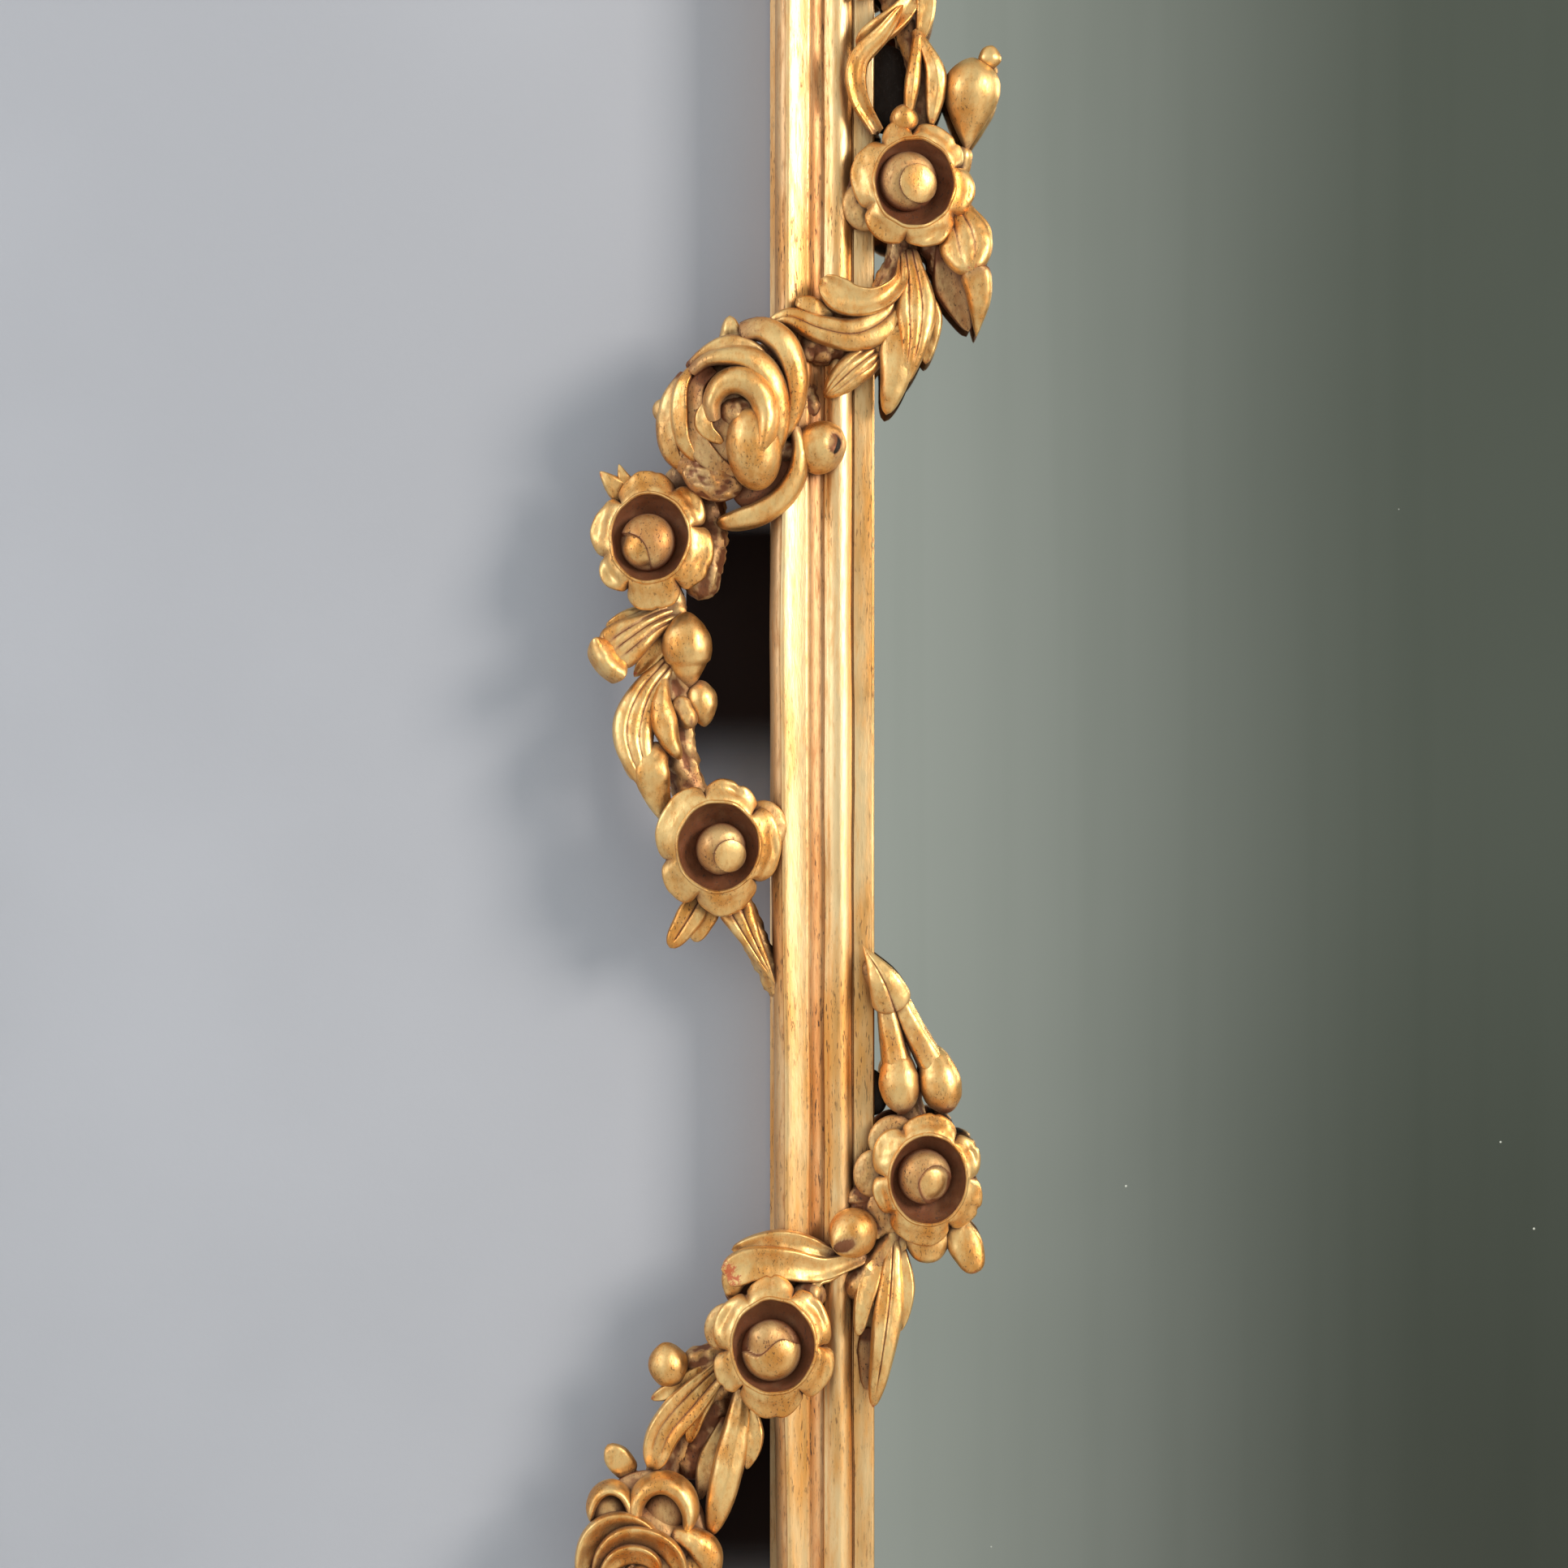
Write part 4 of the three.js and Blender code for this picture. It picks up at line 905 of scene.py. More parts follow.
@dataclass
class Bud:
    """A bud or berry about its middle, turned on the axis that runs to its tip."""

    at: Place
    tip: Place
    radius: float
    length: float
    swell: float = 0.46  # share of the length, from the foot, at which it is widest
    belt: float = 0.0  # share of the length below which it stands back a little
    dimple: tuple[float, float] | None = None  # share of the length, and turn in degrees

    def cut(self, skin: Skin, seed: int) -> None:
        """Adds the bud: a turned profile r(s) = R sin(pi s^a)^0.62, a set by the widest place.

        Args:
            skin: the skin that takes it in.
            seed: picks its unevenness.
        """
        at, tip = np.array(self.at), np.array(self.tip)
        axis = unit(tip - at)
        aside = unit(np.cross(axis, np.array([0.0, 1.0, 0.02])))
        ahead = np.cross(aside, axis)
        ahead = ahead * (-1 if ahead[1] > 0 else 1)
        s = ((1 - np.cos(np.linspace(0.02, np.pi - 0.02, 40))) / 2)[:, None]
        turn = np.linspace(0, 2 * np.pi, 38, endpoint=False)[None, :]
        power = np.log(0.5) / np.log(self.swell)
        radius = self.radius * np.sin(np.pi * s**power) ** 0.62
        if self.belt:
            radius = radius * (1 - 0.13 * ease(self.belt + 0.02, self.belt - 0.02, s))
        grid = radius * (1 + 0.03 * np.cos(2 * turn + seed) + 0.02 * np.cos(3 * turn + 2 * seed))
        dent = np.zeros_like(grid)
        if self.dimple:
            share, degrees = self.dimple
            gap = np.abs((turn - np.radians(degrees) + np.pi) % (2 * np.pi) - np.pi)
            away = np.hypot((s - share) * self.length, gap * grid)
            dent = ease(self.radius * 0.42, self.radius * 0.34, away)
            grid = grid * (1 - 0.16 * dent)
        rows = (
            at
            + axis * ((s - 0.5) * self.length)[..., None]
            + aside * (grid * np.cos(turn))[..., None]
            + ahead * (grid * np.sin(turn))[..., None]
        )
        uneven = ripple(rows, 10, seed)
        rows = rows + 0.25 * uneven[..., None] * unit(rows - at)
        foot = ease(0.25, 0.05, s)
        # Its foot and its back, towards the wall, tone darker, and near black where both meet: painted shade
        # with the toning.
        hollow_and_shade = 0.6 * foot + 0.5 * ease(0.0, -0.8, np.sin(turn)) + 0.64 * dent + 0.15 + 0.1 * uneven
        skin.tube(rows, hollow_and_shade, 0.3 + 0.3 * uneven * np.ones_like(s))


@dataclass
class Heart:
    """An egg that faces the room: a rose's closed middle, a hidden ground or a lobe behind a flower.

    Places and sizes are across, up and towards the room, from the middle of its back.
    """

    at: Place
    half: tuple[float, float]
    top: float
    lean: float = 0.0
    rough: float = 0.2
    hollow_and_shade: float = 0.15
    seam: float = 0.0

    def cut(self, skin: Skin, seed: int) -> None:
        """Adds the egg, half of which stands in front of its place; a seam winds round it as a small step.

        Args:
            skin: the skin that takes it in.
            seed: picks its unevenness.
        """
        polar = np.linspace(0.02, np.pi - 0.02, 46)[:, None]
        turn = np.linspace(0, 2 * np.pi, 60, endpoint=False)[None, :]
        wound = ((turn + 2.4 * polar + seed) / (2 * np.pi)) % 1.0
        scale = 1 - self.seam * wound**1.4 * ease(0.05, 0.5, polar) * ease(2.6, 1.6, polar)
        tilt = np.radians(self.lean)
        a = self.half[0] * np.sin(polar) ** 0.9 * np.cos(turn) * scale
        b = self.half[1] * np.sin(polar) ** 0.9 * np.sin(turn) * scale
        rise = self.top / 2 * (1 + np.cos(polar) * scale)
        across = a * np.cos(tilt) - b * np.sin(tilt)
        up = a * np.sin(tilt) + b * np.cos(tilt)
        rows = np.stack([across, -rise + 0 * a, up], -1) + np.array(self.at)
        bumps = ripple(rows, 9, seed) + self.rough * ripple(rows, 4, seed + 2)
        rows[..., 1] -= self.rough * bumps
        groove = (ease(0.93, 1.0, wound) + ease(0.07, 0.0, wound)) * (self.seam > 0)
        deep = self.hollow_and_shade + 0.5 * ease(1.25, 2.0, polar) + 0.5 * groove * ease(0.1, 0.6, polar)
        deep = deep - 0.2 * self.rough * bumps
        skin.tube(rows, np.clip(deep, 0, 0.86), 0.4 * ease(1.3, 0.4, polar) + 0 * a)


def settle(part: Any, place: Callable[[Place], Place]) -> Any:
    """The same part with each of its places carried into the frame of the whole mirror.

    Args:
        part: a stem, blade, leaf, bud or heart.
        place: carries one place.

    Returns:
        The moved part. The given one stays as it is.
    """
    changes: dict[str, Any] = {key: place(getattr(part, key)) for key in ("at", "tip") if hasattr(part, key)}
    if hasattr(part, "through"):
        changes["through"] = [place(p) for p in part.through]
    return replace(part, **changes)


class BallCut(Enum):
    """How the carver cut the ball in a flower's cup."""

    CREASE = "crease"
    DISC = "disc"
    TEAR = "tear"
    WAVE = "wave"


@dataclass
class Flower:
    """An open flower: lobed petals round a deep cup with a ball in it."""

    petals: int
    at: Place
    turn: float
    up: float
    cut: BallCut = BallCut.DISC
    seed: int = 1
    start: float = 0.0  # where the first notch stands, degrees
    radius: float = 34.5
    stretch: tuple[float, float] = (0.99, 1.08)
    ball: float = 14.8
    ball_off: tuple[float, float] = (0.0, 0.0)
    lip: float = 22.3
    lip_height: float = 20.0
    edge_height: float = 10.0
    floor: float = 7.0
    behind: tuple[float, ...] = ()  # where lobes show from behind, degrees

    def seat(self) -> Array:
        """The head's turn: its own Z points out of its seat.

        Returns:
            A turn of three rows, about X first and then about Z.
        """
        tip, side = np.radians(90 - self.up), np.radians(self.turn)
        about_x = np.array([[1, 0, 0], [0, np.cos(tip), -np.sin(tip)], [0, np.sin(tip), np.cos(tip)]])
        about_z = np.array([[np.cos(side), -np.sin(side), 0], [np.sin(side), np.cos(side), 0], [0, 0, 1]])
        return about_z @ about_x

    def carved(self, place: Callable[[Place], Place]) -> Skin:
        """The flower where it stands, with the lobes behind it.

        Args:
            place: carries a place of the branch into the frame of the whole mirror.

        Returns:
            Its skin.
        """
        made = self.skin().placed(self.seat(), np.array(place(self.at)))
        for number, degrees in enumerate(self.behind):
            way = np.radians(degrees)
            reach = self.radius * 0.82
            at = (self.at[0] + reach * np.cos(way), self.at[1] + 0.5, self.at[2] + reach * np.sin(way))
            lobe = Heart(at, half=(11, 13), top=8, lean=degrees, rough=0.3, hollow_and_shade=0.5)
            settle(lobe, place).cut(made, self.seed + number)
        return made

    def profile(self) -> tuple[Array, Array, Array]:
        """Radius, height and hollow number of the rings, from under the petals to the cup's middle.

        Returns:
            Three columns, with a row for each ring.
        """
        r, edge, lip, top = self.radius, self.edge_height, self.lip, self.lip_height
        under, petal, wall = np.linspace(0, 1, 12), np.linspace(0, 1, 26)[1:], np.linspace(0, 1, 20)[1:]
        deep = top - 0.9 - self.floor
        rings = np.vstack(
            [
                np.stack([10 + (r - 1.0 - 10) * under, (edge - 1.5) * under**1.4, np.full(12, 0.85)], 1),
                [[r - 0.1, edge + 0.2, 0.45], [r + 0.1, edge + 1.8, 0.15], [r - 0.4, edge + 3.2, 0.0]],
                np.stack(
                    [
                        r - 0.4 - (r - 0.4 - lip - 0.9) * petal,
                        edge + 3.2 + (top - 1.6 - edge - 3.2) * petal**0.8,
                        0.04 + 0.2 * petal**6,
                    ],
                    1,
                ),
                [[lip + 0.7, top - 0.6, 0.1], [lip + 0.1, top, 0.0]],
                [[lip - 0.4, top, 0.1], [lip - 0.9, top - 0.8, 0.5]],
                np.stack(
                    [
                        (lip - 0.9) * np.cos(wall * np.pi / 2) ** 0.7 + 0.2,
                        top - 0.9 - deep * np.sin(wall * np.pi / 2) ** 1.3,
                        np.full(19, 0.84),
                    ],
                    1,
                ),
            ]
        )
        return rings[:, :1], rings[:, 1:2], rings[:, 2:3]

    def skin(self) -> Skin:
        """The flower's two closed surfaces in its own frame.

        Round the head, q runs from 0 to 1 over each petal. Outside the cup the radius is lip +
        (r - lip)(0.25 + 0.75 sin(pi q)^0.4), and each petal is a low puff that falls to a cut
        between two petals, with a spoon-shaped dent and a chipped edge.

        Returns:
            The skin.
        """
        rng = np.random.default_rng(self.seed)
        turn = np.linspace(0, 2 * np.pi, 32 * self.petals, endpoint=False)
        starts = np.arange(self.petals + 1) * 2 * np.pi / self.petals
        starts[1:-1] += rng.uniform(-0.24, 0.24, self.petals - 1)
        which = np.clip(np.searchsorted(starts, turn, side="right") - 1, 0, self.petals - 1)
        q = (turn - starts[which]) / (starts[which + 1] - starts[which])
        each = lambda low, high: rng.uniform(low, high, self.petals)[which]
        scallop = np.sin(np.pi * q) ** 0.4
        nick = np.exp(-(((q - each(0.3, 0.7)) / 0.045) ** 2)) * np.maximum(each(-0.1, 0.13), 0)
        waved = 0.04 * np.sin(2 * np.pi * q + each(0, 6))
        outline = (0.25 + 0.75 * scallop) * each(0.8, 1.04) - nick + waved * scallop
        radius, height, hollow_and_shade = self.profile()
        outside = np.clip((radius - self.lip - 0.8) / (self.radius - self.lip), 0, 1)
        beyond = self.lip + 0.8 + (radius - self.lip - 0.8) * outline[None, :]
        spread = np.where(radius > self.lip + 0.8, beyond, radius)
        top = np.arange(len(radius))[:, None] >= 13
        puff = 0.9 * np.sin(np.pi * outside**0.8) * (scallop - 0.35) * top
        dip = -4.2 * (1 - scallop) * ease(0.1, 0.9, outside) * top
        bell = lambda value, width: np.exp(-(((value - 0.5) / width) ** 2))
        spoon = each(-3.0, -0.8) * bell(q, 0.27) * bell(outside, 0.26) * top
        lift = each(-1.6, 1.4) * outside**1.5 * scallop * ease(1, 4, height)
        angle = turn[None, :] + np.radians(self.start)
        rows = np.stack(
            [
                spread * np.cos(angle) * self.stretch[0],
                spread * np.sin(angle) * self.stretch[1],
                height + puff + dip + spoon + lift + 0 * spread,
            ],
            -1,
        )
        uneven = ripple(rows, 9, self.seed + 3)
        rows[..., 2] += 0.3 * uneven * (rows[..., 2] > 1)
        rows[..., :2] *= (1 + 0.014 * ripple(rows, 15, self.seed + 4))[..., None]
        # The undersides and the cuts between the petals tone dark, near black deep in the cuts: painted shade
        # with the toning.
        deep = hollow_and_shade + 0.9 * (1 - scallop) ** 1.4 * ease(0.05, 0.6, outside)
        deep = deep + np.where(radius > self.lip, 0.12, 0.03) * uneven + 0.3 * (nick > 0.02) * (outside > 0.4)
        high = ease(0.75, 1.0, outside) * 0.8 * top + 0.35 * (np.abs(radius - self.lip) < 0.7)
        made = Skin()
        made.tube(rows, np.clip(deep, 0, 1), high * np.ones_like(spread))
        self.add_ball(made)
        return made

    def add_ball(self, skin: Skin) -> None:
        """Adds the ball: an egg on the cup's floor, its front cut by a step along one curve.

        On the unit disc seen from the front, the step follows a circle, a bent line, a drop or an
        S, and the two sides of it stand more than a millimetre apart.

        Args:
            skin: the flower's skin, which takes it in.
        """
        polar = np.linspace(0.02, np.pi - 0.02, 72)[:, None]
        turn = np.linspace(0, 2 * np.pi, 80, endpoint=False)[None, :]
        x, y = np.sin(polar) * np.cos(turn), np.sin(polar) * np.sin(turn)
        if self.cut is BallCut.DISC:
            away = np.hypot(x - 0.3, y + 0.18) - 0.62
            inside = ease(0.025, -0.025, away)
            crest = 0.09 * inside - 0.1 * ease(0.3, 0.0, away) * (1 - inside)
            crest = crest - 0.1 * np.clip(-away, 0, 1) * inside
        elif self.cut is BallCut.CREASE:
            away = (x + 0.12) * 0.75 + (y + 0.12) * 0.66 + 0.3 * (x - y) ** 2 - 0.05
            inside = ease(0.03, -0.03, away)
            crest = -0.16 * inside * ease(-0.9, -0.1, away)
        elif self.cut is BallCut.TEAR:
            drop = 0.62 - 0.42 * np.clip(y + 0.15, 0, 1) ** 1.2
            away = np.hypot(x - 0.36, (y + 0.08) * 0.72) - drop
            inside = ease(0.03, -0.02, away)
            crest = -0.16 * inside + 0.03 * np.exp(-((away / 0.05) ** 2))
        else:
            away = (y - 0.12 - 0.25 * x - 0.18 * np.sin(4 * x)) * 0.85
            inside = ease(0.035, -0.03, away)
            crest = -0.17 * (1 - inside) * ease(0.8, 0.1, away)
        facing = ease(1.6, 1.3, polar)
        scale = 1 + crest * facing
        half = (25.0 - 1.0) / 2
        rows = np.stack(
            [
                self.ball * x * scale + self.ball_off[0],
                self.ball * y * scale * 1.03 + self.ball_off[1],
                24.4 - half + half * np.cos(polar) * scale + 0 * x,
            ],
            -1,
        )
        cut_line = np.exp(-((away / 0.06) ** 2)) * facing
        # The ball tones darker towards its back in the cup and along the cut, painted shade with the toning;
        # the part inside the cut tones less.
        hollow_and_shade = 0.56 + 0.3 * ease(0.9, 1.6, polar) + 0.4 * cut_line - 0.3 * inside * facing
        skin.tube(rows, np.clip(hollow_and_shade + 0 * x, 0, 0.88), 0.6 * ease(1.0, 0.3, polar) + 0 * x)


@dataclass
class Cluster:
    """A rose, built up from blades and eggs. Its parts' places count from its own place."""

    at: Place
    parts: list[Any]
    seed: int = 1

    def carved(self, place: Callable[[Place], Place]) -> Skin:
        """The rose where it stands.

        Args:
            place: carries a place of the branch into the frame of the whole mirror.

        Returns:
            Its skin.
        """
        made = Skin()
        for number, part in enumerate(self.parts):
            put = lambda p: place((self.at[0] + p[0], self.at[1] + p[1], self.at[2] + p[2]))
            settle(part, put).cut(made, self.seed * 31 + 7 * number)
        return made


def arch(middle: Place, radii: tuple[float, float], start: float, end: float) -> list[Place]:
    """Seven places on an oval, from one angle to another, in degrees from the right by way of the top."""
    turns = np.radians(np.linspace(start, end, 7))
    return [(middle[0] + radii[0] * np.cos(a), middle[1], middle[2] + radii[1] * np.sin(a)) for a in turns]


def closed_rose(at: Place, seed: int) -> Cluster:
    """The rose with a closed heart, long petals at the left, a hood on top and a loop at the right.

    Args:
        at: its place on the branch.
        seed: picks its unevenness.

    Returns:
        The rose.
    """
    ground = [
        Heart((-2, 0, -3), half=(31, 34), top=14, lean=0, rough=0.5, hollow_and_shade=0.7),
        Heart((27, 0, 4), half=(11, 26), top=10, lean=-8, rough=0.3, hollow_and_shade=0.85),
        Heart((18, 0, -38), half=(19, 15), top=9, lean=25, rough=0.3, hollow_and_shade=0.85),
        Heart((0, 0, -4), half=(24, 31), top=25, lean=6, rough=0.4, hollow_and_shade=0.66),
        Heart((-10, 0, -35), half=(17, 13), top=20, lean=-25, rough=0.8, hollow_and_shade=0.7),
        Heart((-22, 0, -26), half=(9, 12), top=15, lean=20, rough=0.6, hollow_and_shade=0.6),
    ]
    heart = [
        Heart((3, 0, -2), half=(13, 10), top=29, lean=20, rough=0.6, hollow_and_shade=0.72),
        Heart((11.5, 0, -20), half=(15.0, 23.5), top=35, lean=8, rough=0.15, hollow_and_shade=0.22),
        Blade([(-9, 22, -8), (-10, 25, 3), (-4, 27, 12), (6, 28, 14), (15, 28, 8), (19, 27, -4),
               (18, 27, -16), (13, 22, -30)],
              width=15.5, thickness=9, dish=-0.35, base=0.62, widest=0.45, point=0.1, lean=-0.6, hollow_and_shade=0.12),
        Blade([(-12, 22, 4), (-15, 22, -4), (-13, 22, -12), (-4, 21, -19)],
              width=10, thickness=7, dish=0.1, base=0.5, widest=0.5, point=0.5, lean=2),
    ]
    wraps = [
        Blade([(-22, 18, 18), (-13, 21, 25), (-2, 23, 27), (11, 23, 25), (21, 22, 14), (26, 19, -2),
               (25, 15, -24)],
              width=15, thickness=11, dish=-0.15, base=0.45, widest=0.5, point=0.3, lean=-2.5, hollow_and_shade=0.2),
        Blade([(-23, 13, 20), (-12, 15, 28), (2, 16, 32), (13, 15, 29), (21, 14, 20)],
              width=14, thickness=10, dish=0.0, base=0.6, widest=0.5, point=0.3, hollow_and_shade=0.35),
        Blade([(4, 12, 40), (16, 14, 42), (27, 16, 35), (33.5, 16, 21), (34.5, 14, 5), (31, 12, -8),
               (25, 9, -18)],
              width=15, thickness=12, dish=-0.1, base=0.85, widest=0.25, point=0.3, lean=-2.0, hollow_and_shade=0.22),
        Blade([(33, 7, -8), (36, 8, -20), (34.5, 7, -34), (27, 6, -46), (16, 5, -54), (4, 4, -58),
               (-8, 2, -60)],
              width=14, thickness=12, dish=-0.1, base=0.5, widest=0.65, point=0.1, lean=-1.5, hollow_and_shade=0.12),
        Blade([(-8, 16, 22), (-18, 17, 12), (-20, 17, -2), (-18, 16, -18), (-8, 15, -30), (5, 13, -37)],
              width=15, thickness=9, dish=0.1, base=0.5, widest=0.5, point=0.3, lean=3.0, hollow_and_shade=0.6),
        Blade([(-18, 14, 25), (-26, 15, 12), (-27.5, 15, -3), (-25, 13, -18), (-17, 11, -30)],
              width=11, thickness=12, dish=0.0, base=0.4, widest=0.5, point=0.5, lean=3.0, hollow_and_shade=0.12),
        Blade([(-24, 7, 20), (-32, 8, 6), (-34, 7, -8), (-32, 6, -22), (-25, 4, -33)],
              width=13, thickness=11, dish=0.0, base=0.5, widest=0.5, point=0.3, lean=2.5, hollow_and_shade=0.4),
        Heart((-37, 0, 0), half=(5, 6), top=11, lean=0, rough=0.3, hollow_and_shade=0.5),
    ]
    return Cluster(at, [*ground, *wraps, *heart], seed)


def open_rose(at: Place, seed: int) -> Cluster:
    """The rose with two scrolled petals on top, stacked arcs of inner ones and a petal to each side.

    Args:
        at: its place on the branch.
        seed: picks its unevenness.

    Returns:
        The rose.
    """
    ground = [
        Heart((0, 0, -6), half=(31, 35), top=13, lean=0, rough=0.4, hollow_and_shade=0.72),
        Heart((-4, 0, -16), half=(28, 27), top=21, lean=0, rough=0.3, hollow_and_shade=0.62),
        Heart((-21, 0, 6), half=(11, 14), top=19, lean=15, rough=0.15, hollow_and_shade=0.42),
        Heart((8, 0, 6), half=(12, 13), top=17, lean=0, rough=0.15, hollow_and_shade=0.62),
    ]
    outer = [
        Blade(arch((-20, 12, 6), (11, 15), -15, 195),
              width=8, thickness=12, dish=-0.2, base=0.6, widest=0.5, point=0.2, lean=2.5),
        Blade(arch((7, 12, 6), (15, 17.5), 195, -35),
              width=13, thickness=13, dish=-0.25, base=0.7, widest=0.5, point=0.2, lean=-1.5),
        Blade([(12, 11, -3), (22, 12, -6), (31, 11, -14), (35, 7, -28)],
              width=16, thickness=12, dish=-0.1, base=0.6, widest=0.5, point=0.3, lean=-2),
        Blade([(18, 9, -14), (26, 9, -22), (25, 8, -34), (12, 6, -42)],
              width=16, thickness=11, dish=0.0, base=0.6, widest=0.5, point=0.3, lean=-3),
        Blade([(-28, 8, -4), (-31, 8, -18), (-26, 6, -32), (-12, 6, -42)],
              width=13, thickness=11, dish=0.0, base=0.6, widest=0.5, point=0.3, lean=3),
        Blade([(-18, 7, -38), (-3, 8, -43), (12, 7, -37)],
              width=16, thickness=11, dish=0.0, base=0.7, widest=0.5, point=0.2),
    ]
    inner = [
        Blade(arch((-13, 14, -27), (22, 29), 182, 34),
              width=17, thickness=13, dish=0.1, base=0.5, widest=0.5, point=0.25, lean=5.5, hollow_and_shade=0.12),
        Blade(arch((-5, 17, -29), (23, 24), 168, 2),
              width=16, thickness=12, dish=0.1, base=0.5, widest=0.4, point=0.25, lean=5.5, hollow_and_shade=0.12),
        Blade(arch((-8, 20, -28), (15, 15), 178, 20),
              width=13, thickness=11, dish=0.1, base=0.5, widest=0.5, point=0.25, lean=5.0, hollow_and_shade=0.1),
        Blade(arch((-4, 19, -25), (18, 15), 196, 345),
              width=15, thickness=11, dish=0.1, base=0.5, widest=0.5, point=0.3, lean=-4.0, hollow_and_shade=0.1),
        Heart((-4, 0, -26), half=(11, 10), top=32, lean=0, rough=0.15, hollow_and_shade=0.25, seam=0.14),
    ]
    return Cluster(at, [*ground, *outer, *inner], seed)


# ---- Carvings ----------------------------------------------------------------------------------


@dataclass
class Carving:
    """A branch and its heads. Places are across, forward of the moulding's ridge, and up."""

    name: str
    origin: Place  # across, forward and up of the branch's own zero
    heads: dict[str, Flower | Cluster]
    parts: list[Any]
    both_sides: bool = False

    def place(self, given: Place) -> Place:
        """A place of the branch in the part's own frame."""
        across, forward, up = given
        return (self.origin[0] + across, -(RIDGE_FRONT + self.origin[1] + forward), self.origin[2] + up)

    def branch(self) -> Skin:
        """All the wood of the branch as one skin.

        Returns:
            The skin. A carving with two like sides holds the left one's mirror image too.
        """
        made = Skin()
        first = sum(map(ord, self.name))
        for number, part in enumerate(self.parts):
            one = Skin()
            settle(part, self.place).cut(one, first + 13 * number)
            made.extend(one)
            middle = hasattr(part, "through") and all(abs(p[0]) < 0.5 for p in part.through)
            if self.both_sides and not middle:
                made.extend(one.mirrored())
        return made

    def build(self, gilding: bpy.types.Material, sides: Sequence[str]) -> None:
        """Makes the branch and its heads.

        Args:
            gilding: the finish of carved wood.
            sides: "" for a middle piece, or "left" and "right", of which the right is the left mirrored.
        """
        skins = {"branch": self.branch()}
        skins |= {part: head.carved(self.place) for part, head in self.heads.items()}
        for side in sides:
            stock = f"{self.name}_{side}" if side else self.name
            for part, skin in skins.items():
                shown = skin.mirrored() if side == "right" else skin
                piece = shown.piece(f"carved_{stock}_{part}", gilding)
                stand_for(piece, f"{stock}_{part}")


